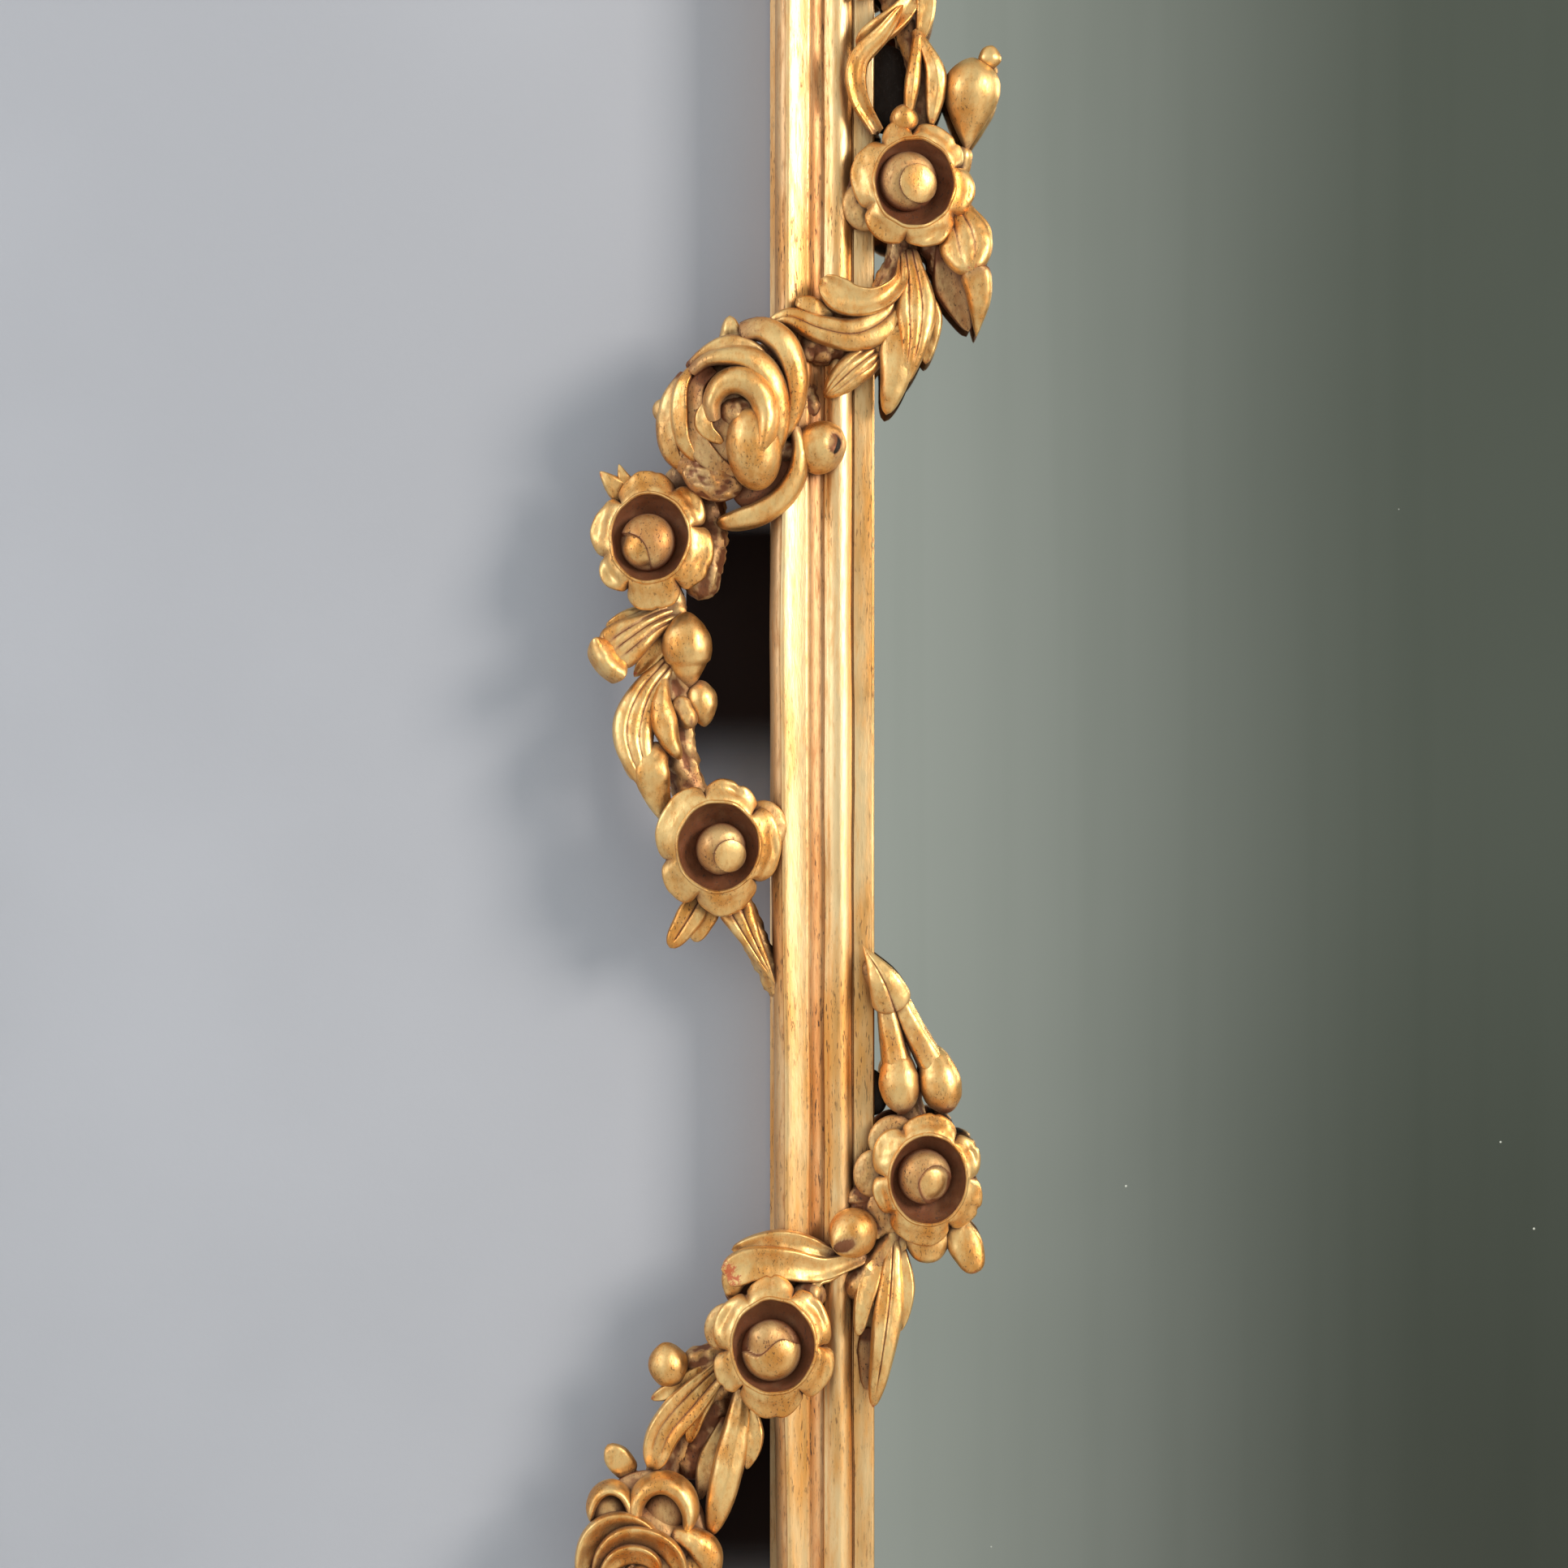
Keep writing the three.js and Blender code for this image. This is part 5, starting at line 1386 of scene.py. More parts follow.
def upper_garland() -> Carving:
    """The garland outside the stile, above: a rose, two flowers, and the leaves between.

    Returns:
        The left one.
    """
    ground = [
        Stem([(8, -10, 36), (-20, -12, 4), (-58, -14, -66), (-50, -13, -120), (-47, -13, -186),
              (-30, -12, -229)],
             radii=(9, 9), rough=1.3, flat=1.0, hollow_and_shade=0.7),
        Stem([(-30, -14, -229), (-12, -14, -272), (8, -12, -312)], radii=(9, 6), rough=1.0),
        Stem([(-20, -12, -8), (0, 0, -20), (24, -4, -20)], radii=(8, 6), rough=0.9, flat=1.0, hollow_and_shade=0.6),
        Stem([(-34, -12, -40), (-32, -14, -70), (-38, -14, -100)],
             radii=(9, 9), rough=1.3, flat=1.0, hollow_and_shade=0.8),
        Stem([(0, -14, 34), (16, -8, 14), (22, -8, -4)], radii=(8, 7), rough=1.0, flat=0.6, hollow_and_shade=0.85),
        Stem([(-49, -8, -152), (-41, -1, -168)], radii=(7, 5), rough=0.3, flat=1.0, hollow_and_shade=0.55),
    ]
    leaf_by_flower = [
        Blade([(-46, -12, -106), (-61, -6, -112), (-74, -2, -121), (-87, -2, -131)],
              width=24, thickness=8, dish=-0.05, base=0.5, widest=0.8, point=0.0, reeds=3, hollow_and_shade=0.2),
        Blade([(-77, 1, -141), (-86, 3, -134), (-92, 1, -121)],
              width=15, thickness=11, dish=-0.4, base=0.85, widest=0.5, point=0.0),
        Blade([(-52, -12, -106), (-72, -7, -110), (-87, -6, -114)],
              width=13, thickness=6, dish=0.1, base=0.6, widest=0.5, point=0.5),
        Blade([(-50, -12, -112), (-60, -8, -126), (-72, -9, -141)],
              width=12, thickness=6, dish=0.3, base=0.6, widest=0.5, point=0.5),
        Blade([(-72, -10, -50), (-82, -6, -40), (-90, -4, -32)],
              width=13, thickness=5, dish=0.0, base=0.7, widest=0.4, point=0.7),
        Blade([(-70, -10, -48), (-77, -6, -36), (-80, -6, -28)],
              width=10, thickness=5, dish=0.0, base=0.7, widest=0.4, point=0.8),
    ]
    acanthus = [
        Blade([(-52, -9, -132), (-66, -3, -150), (-72, 1, -170), (-69, 3, -186), (-60, -1, -204)],
              width=22, thickness=8, dish=0.0, base=0.5, widest=0.5, point=0.3, reeds=2, fold=1),
        Blade([(-56, -8, -142), (-57, 0, -158), (-53, 3, -174), (-47, 0, -185)],
              width=14, thickness=8, dish=-0.2, base=0.5, widest=0.55, point=0.35),
        Blade([(-66, -8, -166), (-74, -5, -182), (-72, -8, -196)],
              width=11, thickness=6, dish=0.0, base=0.6, widest=0.5, point=0.4, hollow_and_shade=0.3),
        Blade([(-58, -4, -178), (-62, 4, -190), (-60, 0, -202), (-54, -6, -218)],
              width=18, thickness=8, dish=-0.1, base=0.7, widest=0.4, point=0.3),
    ]
    return Carving(
        name="garland_upper",
        origin=(-FRAME_WIDTH / 2, 0, UPPER_GARLAND),
        heads={
            "rose": closed_rose((-20, -6, 0), 3),
            "flower_1": Flower(6, (-60.5, -8, -70),
                               turn=-8, up=6, cut=BallCut.CREASE, seed=11, start=14, radius=34.2,
                               stretch=(0.99, 1.12), ball_off=(-2, -1.5), lip=21.4),
            "flower_2": Flower(5, (-28.5, -4, -229),
                               turn=5, up=-6, cut=BallCut.DISC, seed=12, start=40, radius=34.5, ball=13.4,
                               ball_off=(2, -2), behind=(20,)),
        },
        parts=[
            *ground,
            *leaf_by_flower,
            *acanthus,
            Blade([(-19, -12, 18), (-20, -5, 38), (-21, -2, 50.5)],
                  width=17, thickness=8, dish=0.0, base=0.8, widest=0.45, point=0.45, lean=-2, hollow_and_shade=0.25),
            Blade([(-34, -10, -254), (-42, -5, -268), (-53, -5, -285)],
                  width=15, thickness=6, dish=0.1, base=0.6, widest=0.5, point=0.2, reeds=1),
            Blade([(-28, -10, -256), (-36, -8, -272), (-40, -9, -282)],
                  width=14, thickness=5, dish=0.1, base=0.6, widest=0.5, point=0.3),
            Blade([(-22, -8, -256), (-12, -4, -276), (3, -4, -304)],
                  width=18, thickness=7, dish=0.0, base=0.8, widest=0.2, point=1.0, reeds=2, hollow_and_shade=0.15),
            Bud((-43.5, -5, -127), (-44.5, -3, -107), radius=13.2, length=41, swell=0.55, belt=0.34),
            Bud((-36, -9, -155), (-34.5, -9, -167), radius=8.2, length=25),
            Bud((27, -1, -19.5), (32, 8, -21.5), radius=14.3, length=30, swell=0.5, dimple=(0.97, 0)),
        ],
    )


def lower_garland() -> Carving:
    """The garland outside the stile, below: a flower on the stile, an open rose and a last flower.

    Returns:
        The left one.
    """
    ground = [
        Stem([(26, -4, 34), (4, -3, 4), (-30, -16, -26), (-64, -16, -92), (-64, -18, -150), (-48, -13, -212)],
             radii=(9, 9), rough=1.2, flat=1.0, hollow_and_shade=0.7),
        Stem([(-48, -14, -212), (-22, -16, -270), (8, -12, -324)], radii=(9, 6), rough=1.0),
        Stem([(-20, -14, -8), (-46, -10, -11)], radii=(9, 7), rough=0.4, flat=1.0, hollow_and_shade=0.7),
        Stem([(-62, -16, -86), (-85, -12, -60)], radii=(6, 4), rough=1.0),
        Stem([(-26, -16, -26), (-36, -15, -50), (-44, -15, -74)],
             radii=(10, 9), rough=1.5, flat=0.8, hollow_and_shade=0.9),
        Heart((-12, -8, 29), half=(12, 11), top=8, lean=0, rough=0.3, hollow_and_shade=0.85),
    ]
    curled = [
        Blade([(52, -8, 47), (28, -3, 40), (8, 3, 43), (-10, 4, 43), (-24, 2, 36)],
              width=20, thickness=9, dish=0.25, base=0.5, widest=0.82, point=0.0, curl=2, rubbed=1.3),
        Blade([(-10, -1, 42), (-18, 3, 36), (-20, 0, 25)],
              width=14, thickness=8, dish=0.0, base=0.7, widest=0.5, point=0.4),
        Blade([(36, -6, 47), (18, -1, 53), (-2, 1, 54), (-20, -1, 50)],
              width=14, thickness=8, dish=0.2, base=0.5, widest=0.6, point=0.4, hollow_and_shade=0.2),
        Blade([(40, -7, 40), (26, -2, 34), (24, 0, 26)],
              width=9, thickness=6, dish=0.1, base=0.6, widest=0.5, point=0.5),
    ]
    fluted = [
        Blade([(-24, -10, -12), (-42, -2, -30), (-56, 0, -47), (-62, -3, -67)],
              width=20, thickness=8, dish=0.3, base=0.55, widest=0.55, point=0.1, reeds=2),
        Blade([(-28, -10, -12), (-46, -6, -22), (-63, -7, -30)],
              width=12, thickness=6, dish=0.1, base=0.6, widest=0.5, point=0.5),
        Blade([(-28, -10, -20), (-38, -4, -36), (-43, -5, -53)],
              width=11, thickness=6, dish=0.2, base=0.6, widest=0.5, point=0.4),
        Blade([(-14, -10, -24), (-18, -2, -48), (-24, 0, -74), (-31, -4, -102)],
              width=18, thickness=8, dish=0.0, base=0.55, widest=0.5, point=0.25, fold=2.5),
        Blade([(-12, -9, -30), (-8, -3, -50), (-12, -5, -67)],
              width=11, thickness=6, dish=0.1, base=0.6, widest=0.5, point=0.6),
        Blade([(-22, -12, -40), (-32, -8, -62), (-37, -10, -84)],
              width=12, thickness=6, dish=0.1, base=0.6, widest=0.5, point=0.4, hollow_and_shade=0.4),
        Blade([(-74, -10, -70), (-80, -6, -62), (-86, -6, -54)],
              width=15, thickness=6, dish=0.0, base=0.8, widest=0.4, point=0.2),
    ]
    return Carving(
        name="garland_lower",
        origin=(-FRAME_WIDTH / 2, 0, LOWER_GARLAND),
        heads={
            "flower_1": Flower(6, (3.5, 2, 0.5),
                               turn=-4, up=4, cut=BallCut.WAVE, seed=21, start=0, radius=34.6,
                               stretch=(1.0, 1.12), ball=15.8, ball_off=(-1.5, -2.5), behind=(160,)),
            "rose": open_rose((-63.7, -10, -96), 5),
            "flower_2": Flower(5, (-48, -8, -212), turn=4, up=-5, cut=BallCut.DISC, seed=22, start=10),
        },
        parts=[
            *ground,
            *curled,
            *fluted,
            Leaf([(-64, -16, -124), (-84, -8, -146), (-84, -8, -176)], width=26),
            Leaf([(-62, -19, -136), (-46, -9, -156), (-24, -12, -168)], width=24),
            Leaf([(-50, -14, -220), (-66, -8, -242), (-68, -6, -268)], width=26),
            Leaf([(-30, -14, -240), (-28, -6, -272), (-8, -6, -300)], width=24),
            Bud((-53.5, -6, -12), (-56, -4, -2), radius=11, length=26, swell=0.5),
            Bud((-58, -10, -152), (-56, -8, -172), radius=10, length=28),
        ],
    )


def upper_spray() -> Carving:
    """The spray inside the stile, above: a flower with a pear bud over it and leaves that cross the stile.

    Returns:
        The left one.
    """
    ground = [
        Stem([(-6, -10, 126), (14, -13, 96), (25, -13, 60), (18, -14, 6), (12, -13, -40), (-10, -6, -76),
              (-38, -4, -72)],
             radii=(7, 8), rough=1.2, flat=1.0, hollow_and_shade=0.7),
        Stem([(20, -14, 4), (42, -12, 8), (48.5, -7, 24)], radii=(8, 4.5), rough=0.15),
        # A flat ground behind the hole, painted near black as deep shade.
        Stem([(4, -18, 80), (7, -18, 34)], radii=(13, 13), rough=0.1, flat=0.2, hollow_and_shade=1.5),
        Stem([(-10, -12, 10), (-8, -11, -20)], radii=(10, 9), rough=1.2, flat=0.7, hollow_and_shade=0.8),
        Stem([(-6, -6, -76), (-30, -4, -84), (-40, -4, -80)], radii=(9, 7), rough=1.3, flat=0.8, hollow_and_shade=0.8),
        Stem([(30, -13, -20), (40, -12, -50)], radii=(9, 7), rough=1.0, flat=0.6, hollow_and_shade=0.9),
    ]
    top = [
        Blade([(24, -8, 106), (10, -2, 90), (-10, 0, 76)],
              width=15, thickness=7, dish=0.3, base=0.6, widest=0.6, point=0.2),
        Blade([(22, -8, 122), (8, -3, 114), (-12, -1, 102)],
              width=14, thickness=7, dish=0.3, base=0.6, widest=0.6, point=0.3),
        Blade([(26, -8, 118), (27, -4, 96), (24, -6, 78)],
              width=12, thickness=7, dish=0.1, base=0.7, widest=0.4, point=0.4),
        Blade([(2, -6, 30), (-9, 0, 50), (-9, 3, 67), (4, 3, 82), (15, 0, 98)],
              width=12, thickness=8, dish=0.3, base=0.6, widest=0.45, point=0.4, lean=-1),
        Blade([(23, -5, 82), (20, 0, 58), (17, -4, 34)],
              width=8.5, thickness=8, dish=0.0, base=0.7, widest=0.5, point=0.5, fold=1.5),
        Blade([(21, -6, 86), (32, -1, 62), (30, -4, 34)],
              width=12, thickness=8, dish=0.0, base=0.5, widest=0.6, point=0.4, fold=2),
    ]
    low = [
        Blade([(40, -8, -8), (47, -1, -24), (50, 4, -46)],
              width=27, thickness=8, dish=-0.1, base=0.75, widest=0.6, point=0.05, lean=1.5, reeds=2),
        Blade([(52, 2, -40), (55, -1, -54), (54, -8, -77)],
              width=17, thickness=9, dish=-0.1, base=0.9, widest=0.2, point=0.9, lean=2.0, hollow_and_shade=0.15),
        Blade([(38, -10, -26), (41, -10, -48), (50, -11, -74)],
              width=20, thickness=6, dish=0.1, base=0.7, widest=0.5, point=0.6, hollow_and_shade=0.7),
        Blade([(48, -8, -8), (57, -4, -24), (58, -6, -38)],
              width=11, thickness=6, dish=0.1, base=0.7, widest=0.5, point=0.3),
        Blade([(18, -10, -30), (21, -2, -54), (21, 3, -78), (16, 2, -104)],
              width=22, thickness=9, dish=0.05, base=0.5, widest=0.5, point=0.7, reeds=2, fold=1.5),
        Blade([(14, -8, -62), (13, 1, -82), (11, 1, -98), (6, -4, -119)],
              width=21, thickness=8, dish=-0.05, base=0.6, widest=0.45, point=0.5, fold=1.5, hollow_and_shade=0.1),
        Blade([(25, -9, -50), (30, -5, -68), (27, -6, -92)],
              width=12, thickness=7, dish=0.1, base=0.5, widest=0.5, point=0.4),
        Blade([(16, -8, -50), (7, -1, -68), (-1, -3, -87)],
              width=14, thickness=8, dish=0.2, base=0.5, widest=0.5, point=0.3),
        Blade([(15, -8, -34), (13, -1, -49), (1, 5, -59), (-14, 6, -59), (-29, 4, -48)],
              width=18, thickness=8, dish=0.35, base=0.3, widest=0.8, point=0.35),
        Blade([(17, -10, -42), (8, -3, -66), (-10, 2, -77), (-30, 3, -74), (-46, 2, -68), (-60, 0, -73)],
              width=21, thickness=9, dish=-0.05, base=0.55, widest=0.4, point=0.6, reeds=1),
        Blade([(-24, -2, -68), (-34, 3, -62), (-42, 1, -60)],
              width=11, thickness=7, dish=0.0, base=0.7, widest=0.5, point=0.3),
        Blade([(3, -6, -84), (-12, 1, -96), (-27, -1, -110)],
              width=19, thickness=7, dish=-0.15, base=0.65, widest=0.4, point=0.4, reeds=3),
    ]
    return Carving(
        name="spray_upper",
        origin=(MOULDING_WIDTH - FRAME_WIDTH / 2, 0, UPPER_SPRAY),
        heads={
            "flower": Flower(6, (20, -10, 1),
                             turn=2, up=5, cut=BallCut.DISC, seed=31, start=20, radius=34.0,
                             stretch=(0.97, 1.07), ball=15.4, ball_off=(-3, 2), behind=(200,))
        },
        parts=[
            *ground,
            *top,
            *low,
            Bud((50.5, -6, 45), (52.5, -5, 69), radius=15.2, length=52, swell=0.68),
            Bud((61, -5, 71), (62, -3, 76), radius=6.2, length=13),
            Bud((15.5, -2, 38), (15, 4, 44), radius=7.8, length=16),
        ],
    )


def lower_spray() -> Carving:
    """The spray inside the stile, below: twin buds over a flower, and a hanging leaf.

    Returns:
        The left one.
    """
    return Carving(
        name="spray_lower",
        origin=(MOULDING_WIDTH - FRAME_WIDTH / 2, 0, LOWER_SPRAY),
        heads={
            "flower": Flower(6, (27, -10, 1),
                             turn=3, up=-3, cut=BallCut.TEAR, seed=41, start=50, radius=33.6,
                             stretch=(0.92, 1.09), ball=14.2, ball_off=(-1.5, 1), behind=(178, 132, 225))
        },
        parts=[
            Stem([(-4, -11, 116), (8, -13, 94), (13, -14, 60), (24, -14, 4), (10, -12, -34), (-14, -8, -64)],
                 radii=(6, 9), rough=1.0, flat=1.0, hollow_and_shade=0.6),
            Stem([(16, -15, -20), (-12, -6, -29)], radii=(8, 8), rough=1.2, flat=1.0, hollow_and_shade=0.7),
            Stem([(6, -9, 95), (9, -8, 76), (13, -6, 54)], radii=(5, 8), rough=0.15, hollow_and_shade=0.25),
            Stem([(13, -9, 95), (21, -8, 78), (34, -6, 54)], radii=(5, 8), rough=0.15, hollow_and_shade=0.25),
            # A flat ground behind the hole, painted near black as deep shade.
            Stem([(-3, -17, 56), (0, -17, 32)], radii=(6, 8), rough=0.1, flat=0.4, hollow_and_shade=1.5),
            Stem([(-8, -10, -4), (-4, -10, -24)], radii=(9, 9), rough=1.3, flat=0.7, hollow_and_shade=0.8),
            Blade([(11, -6, 88), (5, -2, 104), (-6, -7, 123)],
                  width=23, thickness=7, dish=0.0, base=0.85, widest=0.2, point=1.0, fold=2, reeds=1),
            Blade([(28, -14, -20), (28, -9, -34), (28, -9, -46)],
                  width=25, thickness=8, dish=-0.2, base=0.9, widest=0.4, point=0.0, hollow_and_shade=0.25),
            Blade([(42, -12, -24), (49, -7, -38), (54, -7, -51)],
                  width=18, thickness=8, dish=-0.1, base=0.85, widest=0.5, point=0.0),
            Blade([(10, -10, -32), (8, -2, -62), (4, 1, -92), (-1, -4, -122)],
                  width=16, thickness=8, dish=0.0, base=0.6, widest=0.5, point=0.35, fold=1.5, reeds=1),
            Blade([(4, -10, -38), (-5, -3, -62), (-9, -3, -84)],
                  width=12, thickness=7, dish=0.1, base=0.6, widest=0.5, point=0.35),
            Blade([(14, -10, -38), (16, -4, -62), (13, -6, -82)],
                  width=11, thickness=6, dish=0.1, base=0.6, widest=0.5, point=0.4),
            Blade([(-3, -12, -80), (-4, -11, -98), (-4, -12, -114)],
                  width=11, thickness=5, dish=0.0, base=0.8, widest=0.4, point=0.3, hollow_and_shade=0.7),
            Bud((13.2, -6, 52), (11.5, -8, 70), radius=10.6, length=37, swell=0.44),
            Bud((34.4, -6, 52), (30, -8, 70), radius=11, length=37, swell=0.44),
            Bud((-11.5, -2, -29), (-19, 6, -35), radius=13, length=32, swell=0.5, dimple=(0.9, 70)),
        ],
    )


def crest() -> Carving:
    """The crest on the top rail: a tall middle leaf over a rose, and scrolls to both sides.

    Returns:
        The whole crest.
    """
    return Carving(
        name="crest",
        origin=(0, 0, FRAME_HEIGHT / 2),
        heads={"rose": open_rose((0, -4, 40), 7)},
        parts=[
            Stem([(-14, -9, 34), (44, -12, 46), (104, -14, 50), (156, -14, 22), (190, -8, -16)],
                 radii=(11, 7), rough=0.8),
            Leaf([(0, -10, 40), (0, -5, 96), (0, 0, 149)], width=52, fingers=(3, 3), reeds=3),
            Leaf([(20, -14, 46), (44, -6, 82), (42, -2, 122)], width=38, fingers=(2, 3), reeds=2),
            Leaf([(50, -12, 48), (88, -4, 74), (104, -4, 106)], width=36, fingers=(2, 3), reeds=2),
            Leaf([(104, -12, 48), (142, -4, 58), (172, -2, 40)], width=34, fingers=(2, 2), reeds=2),
            Leaf([(150, -10, 20), (206, 0, -10), (260, 1, -22)], width=28, fingers=(2, 3), reeds=2),
            Leaf([(38, -14, 42), (76, -2, 14), (84, 2, -22)], width=30, fingers=(2, 2), reeds=2),
            Bud((112, -9, 32), (124, -5, 14), radius=13, length=36),
        ],
        both_sides=True,
    )


def foot() -> Carving:
    """The small ornament on the bottom rail.

    Returns:
        The whole ornament.
    """
    return Carving(
        name="foot",
        origin=(0, 0, -FRAME_HEIGHT / 2),
        heads={"rose": open_rose((0, 2, 30), 9)},
        parts=[
            Stem([(-14, -5, 22), (36, -8, -8), (86, -14, -12), (124, -6, 14)], radii=(9, 6), rough=0.8),
            Leaf([(0, -2, 20), (0, 0, -20), (0, -8, -56)], width=42, fingers=(3, 3), reeds=2),
            Leaf([(26, -12, 0), (58, -6, -26), (88, -8, -40)], width=30, fingers=(2, 2), reeds=2),
            Leaf([(70, -10, -8), (118, 0, 8), (168, 1, 26)], width=28, fingers=(2, 2), reeds=2),
            Bud((104, -6, -14), (118, -6, -22), radius=10, length=28),
        ],
        both_sides=True,
    )


# ---- CAD nodes that keep their shape -----------------------------------------------------------


@dataclass
class Fittings:
    """The plate, the boards, the feathers, the wall plates and their screws, as the CAD has them."""

    def dress(self) -> None:
        """Gives each of these nodes its finish."""
        glass = SilveredGlass().make()
        beech = PlainBeech().make()
        brass = OldMetal("rolled_brass_dulled", "#B8924C", "#6F5730", 0.34).make()
        steel = OldMetal("turned_steel_screw", "#8B8D90", "#55504A", 0.36).make()
        starts = {
            "mirror_plate": glass,
            "backboard_1": SawnPine(1, "#A9835E").make(),
            "backboard_2": SawnPine(2, "#B08B62").make(),
            "backboard_3": SawnPine(3, "#9F7850").make(),
            "mitre_key": beech,
            "wall_plate": brass,
            "plate_screw": steel,
        }
        for name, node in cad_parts.items():
            for start, finish in starts.items():
                if name.startswith(start):
                    node.data.materials.clear()
                    node.data.materials.append(finish)
                    LOG.info("%s is finished in %s", name, finish.name)


# ---- Studio ------------------------------------------------------------------------------------


@dataclass
class Studio:
    """A pale wall and floor, two soft lamps, the dim room that the glass shows, and the camera."""

    wall: str = "#A6A9B3"
    floor: str = "#C9C8C5"
    backdrop: str = "#DADCDF"
    window_side: str = "#F2F6F0"
    dim_side: str = "#868C82"
    dim_below: str = "#6A6F66"
    ground: str = "#7C766C"
    # the near black of the painted shade behind the gaps
    gap_shade_black: str = "#241D1C"
    clouds: float = 625.0  # mm, the paint's paler patches
    grit: float = 3.846  # mm, the paint's grain
    looked_at: Place = (-0.4022, -0.04, 0.075)
    distance: float = 2.2
    picture: float = 0.8308  # metres of the mirror's front that the picture is wide

    def card(self, name: str, corners: list[Place], material: bpy.types.Material) -> None:
        """A flat four-cornered surface of the stage, in metres.

        Args:
            name: its name.
            corners: its four corners in order.
            material: its finish.
        """
        mesh = bpy.data.meshes.new(name)
        mesh.from_pydata(corners, [], [(0, 1, 2, 3)])
        mesh.materials.append(material)
        made = bpy.data.objects.new(name, mesh)
        bpy.context.scene.collection.objects.link(made)
        made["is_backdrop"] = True

    def paint(self, name: str, colour: str) -> bpy.types.Material:
        """Matt emulsion that isn't there from behind, nor for light that starts within 12 mm of it.

        So the back of the mirror is lit as if it hung free, in the views from behind.

        Args:
            name: the material's name.
            colour: the paint's sRGB hex.

        Returns:
            The material.
        """
        material, put = begin(name)
        place = put(Node.PLACE)
        cloud = put(Node.NOISE, place, *per_metre(self.clouds), 4.0)
        grit = put(Node.NOISE, place, *per_metre(self.grit), 3.0)
        lighter = tuple(min(1.0, share * 1.12) for share in linear(colour)[:3]) + (1.0,)
        base = put(Node.BLEND, put(Node.STEP, cloud, 0.35, 0.65), linear(colour), lighter)
        matt = put(Node.PRINCIPLED, base, 0.85, 0.0, put(Node.BUMP, grit, 0.12, 0.0006))
        close = put(Node.STEP, put(Node.RAY, out="Ray Length"), 0.013, 0.011)
        unseen = put(Node.TIMES, close, put(Node.LESS, 1.0, put(Node.RAY)))
        open_share = put(Node.LARGER, put(Node.BEHIND), unseen)
        put(Node.SURFACE, put(Node.MIXED, open_share, matt, put(Node.CLEAR)))
        return material

    def paint_gap_shade(self, back: float) -> None:
        """Painted shade: near-black strips on the wall behind the gaps between the garlands and the
        stiles, where the shadow falls.

        Each strip fades out towards its ends, so that they don't show as lines, and isn't there
        from behind.

        Args:
            back: how far the strips stand behind the mirror's back, in metres.
        """
        for number, (low, high) in enumerate(((0.045, 0.228), (-0.4, -0.24))):
            for side in (-1, 1):
                material, put = begin(f"painted_gap_shade_{number}_{side + 1}")
                height = put(Node.SPLIT, put(Node.PLACE), out="Z")
                bottom = put(Node.STEP, height, low, low + 0.07)
                top = put(Node.STEP, height, high, high - 0.02)
                facing = put(Node.LESS, 1.0, put(Node.BEHIND))
                shown = put(Node.TIMES, put(Node.TIMES, bottom, top), facing)
                black = put(Node.DIFFUSE, linear(self.gap_shade_black))
                put(Node.SURFACE, put(Node.MIXED, shown, put(Node.CLEAR), black))
                inner, outer = sorted((side * 0.406, side * 0.455))
                corners = [(inner, back, low), (outer, back, low), (outer, back, high), (inner, back, high)]
                self.card(f"felt_{number}_{side + 1}", corners, material)

    def room(self) -> None:
        """The world: pale to the camera, and to all else a room, bright at the left and dim at the right.

        The dim side's share grows with the direction's x from 0 to 0.16 where it points into the
        room, which is the half with a negative y, and falls again from 0.22 to 0.42. The dim side
        darkens below the horizon, and everything takes on the ground's colour further down.
        """
        world = bpy.data.worlds.new("studio_room")
        bpy.context.scene.world = world
        world.use_nodes = True
        world.node_tree.nodes.clear()
        put = partial(add, world.node_tree)
        way = put(Node.PLACE, out="Generated")
        across, deep, up = (put(Node.SPLIT, way, out=axis) for axis in "XYZ")
        near_round = put(Node.STEP, across, 0.0, 0.16)
        far_round = put(Node.STEP, across, 0.22, 0.42, 1.0, 0.1)
        inward = put(Node.STEP, deep, -0.1, -0.5)
        dim = put(Node.TIMES, put(Node.TIMES, near_round, far_round), inward)
        below = put(Node.STEP, up, 0.02, -0.2)
        shade = put(Node.BLEND, below, linear(self.dim_side), linear(self.dim_below))
        seen = put(Node.BLEND, dim, linear(self.window_side), shade)
        grounded = put(Node.BLEND, put(Node.STEP, up, 0.0, -0.5, 0.0, 0.4), seen, linear(self.ground))
        glow = put(Node.GLOW, grounded, 0.95)
        pale = put(Node.GLOW, linear(self.backdrop), 1.0)
        put(Node.WORLD, put(Node.MIXED, put(Node.RAY), glow, pale))

    def lamp(self, name: str, at: Place, size: tuple[float, float], power: float, colour: str) -> None:
        """One soft box, turned to the middle of the picture.

        Args:
            name: the lamp's name.
            at: where it stands, in metres.
            size: its width and height in metres.
            power: watts.
            colour: its light's sRGB hex.
        """
        light = bpy.data.lights.new(name, "AREA")
        light.shape = "RECTANGLE"
        light.size, light.size_y = size
        light.energy = power
        light.color = linear(colour)[:3]
        made = bpy.data.objects.new(name, light)
        bpy.context.scene.collection.objects.link(made)
        made.location = at
        made.rotation_euler = (Vector(self.looked_at) - Vector(at)).to_track_quat("-Z", "Y").to_euler()

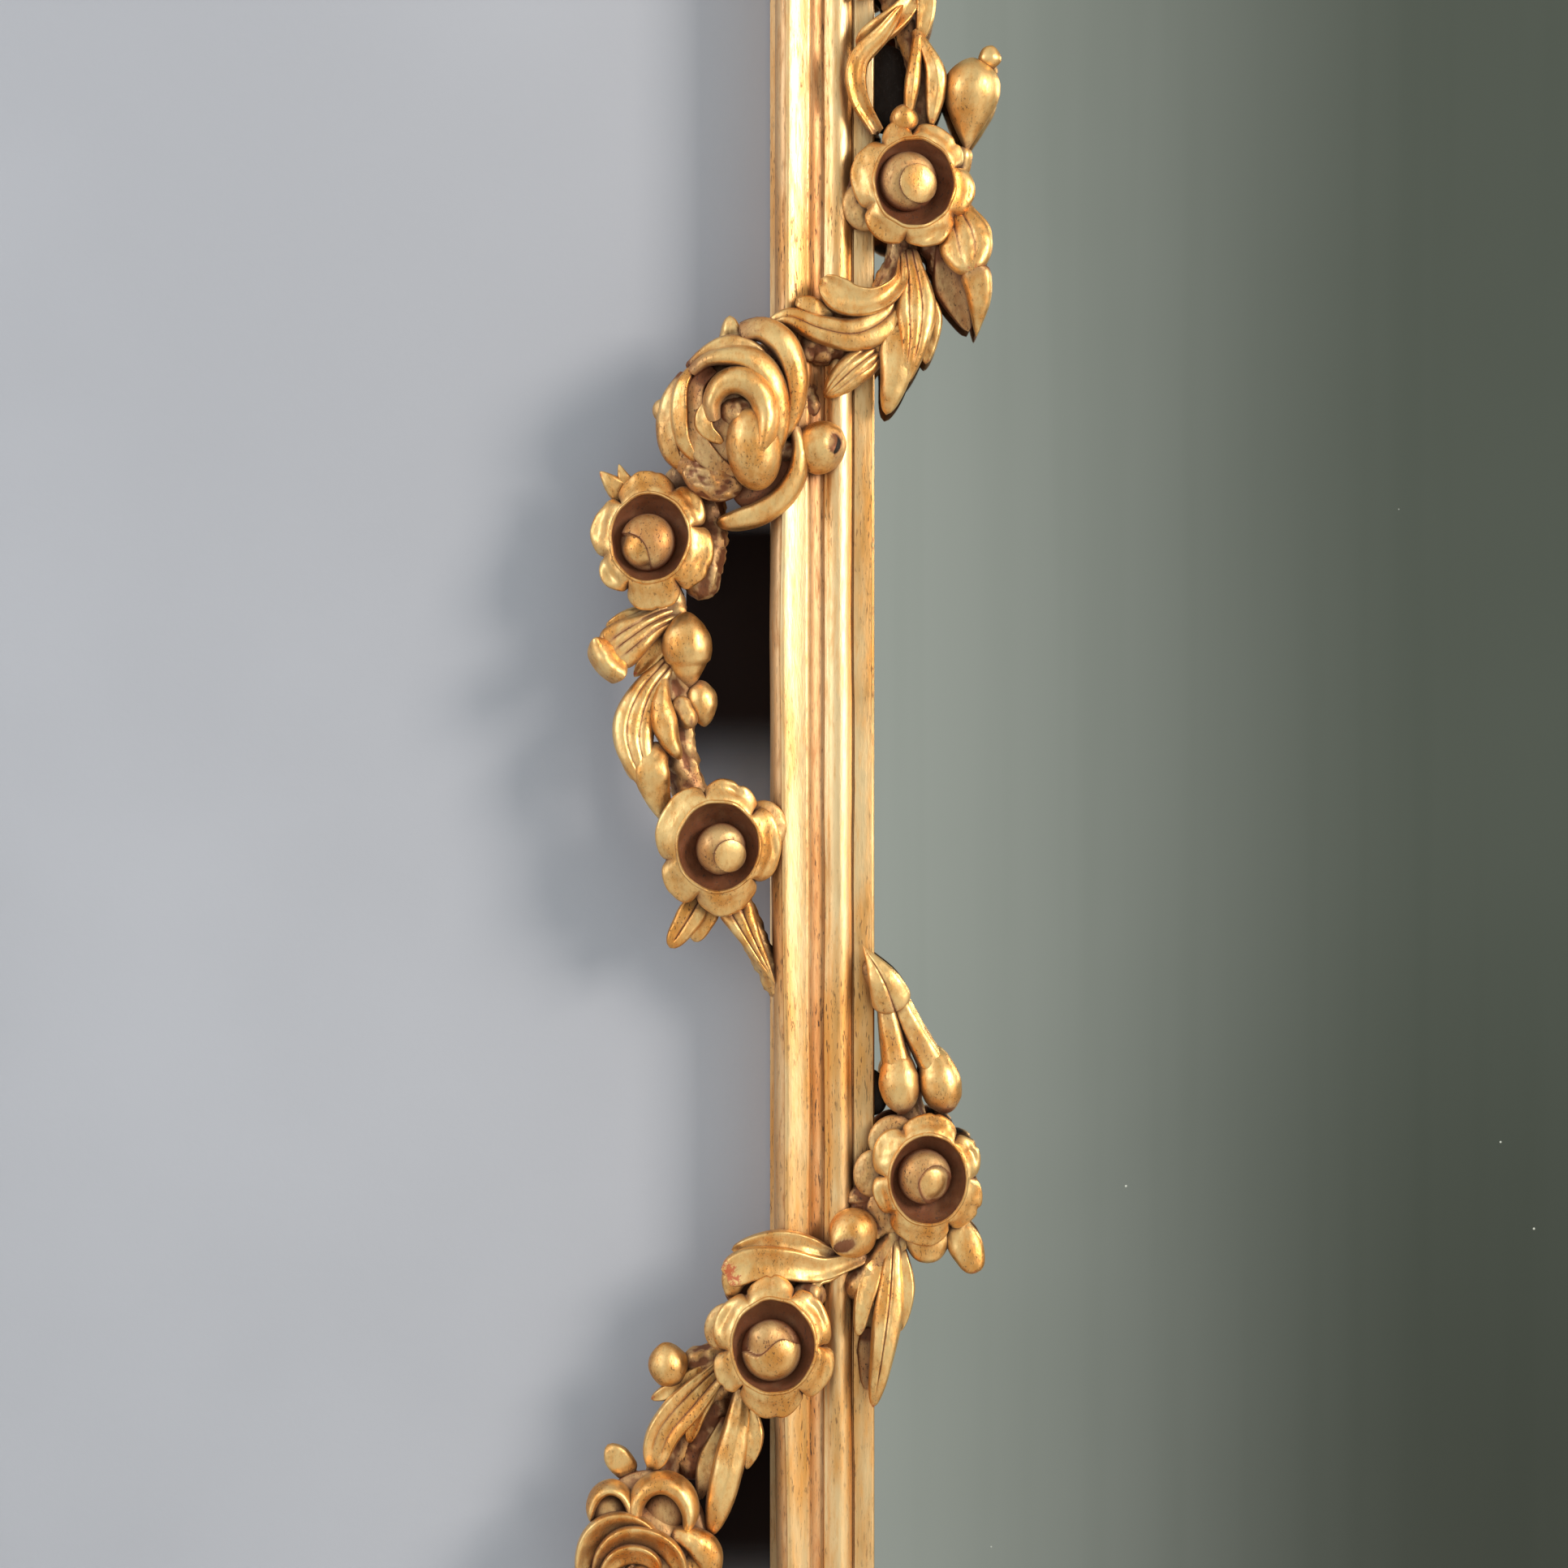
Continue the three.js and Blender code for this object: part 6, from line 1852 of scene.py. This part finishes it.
    def camera(self) -> None:
        """The camera, square to the wall. Its lens frames the picture's width at the mirror's front."""
        data = bpy.data.cameras.new("camera")
        data.sensor_width = 36.0
        data.lens = data.sensor_width * self.distance / self.picture
        made = bpy.data.objects.new("camera", data)
        bpy.context.scene.collection.objects.link(made)
        x, y, z = self.looked_at
        made.location = (x, y - self.distance, z)
        made.rotation_euler = (np.pi / 2, 0, 0)
        bpy.context.scene.camera = made

    def build(self) -> None:
        """Sets the stage: its wall stands 3 mm behind the mirror, and all reach far past the picture."""
        self.camera()
        back, low, top, far = 0.003, -1.12, 2.4, 3.2
        wall = [(-far, back, low), (far, back, low), (far, back, top), (-far, back, top)]
        self.card("wall", wall, self.paint("matt_grey_emulsion", self.wall))
        floor = [(-far, -far, low), (far, -far, low), (far, far, low), (-far, far, low)]
        self.card("floor", floor, self.paint("pale_floor_paint", self.floor))
        # Painted shade: near-black strips behind the gaps between the garlands and the stiles.
        self.paint_gap_shade(back - 0.001)
        self.room()
        self.lamp("right_soft_box", (1.7, -1.5, 0.9), (0.7, 1.0), 57, "#FFF4E6")
        self.lamp("left_soft_box", (-2.4, -1.1, 0.9), (0.8, 1.2), 14, "#F4F6FF")
        LOG.info("stage, lamps and camera are set")


def write_sizes(before: Any) -> None:
    """Makes the CAD's box and the dressed mirror's box into lists of numbers, which are not kept.
    """
    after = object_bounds()
    plain = lambda box: [[float(n) for n in corner] for corner in box]
    {"cad": plain(before), "visual": plain(after)}


def main() -> None:
    """Builds and dresses the mirror, and sets it in the studio."""
    logging.basicConfig(level=logging.INFO, format="%(name)s: %(message)s")
    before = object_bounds()
    Studio().build()
    carved = WaterGilding()
    # The planed members' orange toning also paints the shade of the moulding's bands that face away from the
    # lamps.
    planed = WaterGilding(leaf="#F8D9A6", thick_leaf="#DDA058", toning="#A9683A", mottle=22.0)
    upright = planed.make("water_gilded_limewood_upright", Grain.UPRIGHT)
    level = planed.make("water_gilded_limewood_level", Grain.LEVEL)
    Moulding().build({Grain.UPRIGHT: upright, Grain.LEVEL: level})
    gilding = carved.make("water_gilded_limewood_carved", Grain.CARVED)
    for carving in (upper_garland(), lower_garland(), upper_spray(), lower_spray()):
        carving.build(gilding, ("left", "right"))
    for carving in (crest(), foot()):
        carving.build(gilding, ("",))
    Fittings().dress()
    bpy.context.scene.view_settings.view_transform = "Standard"
    write_sizes(before)


if __name__ == "__main__":
    main()
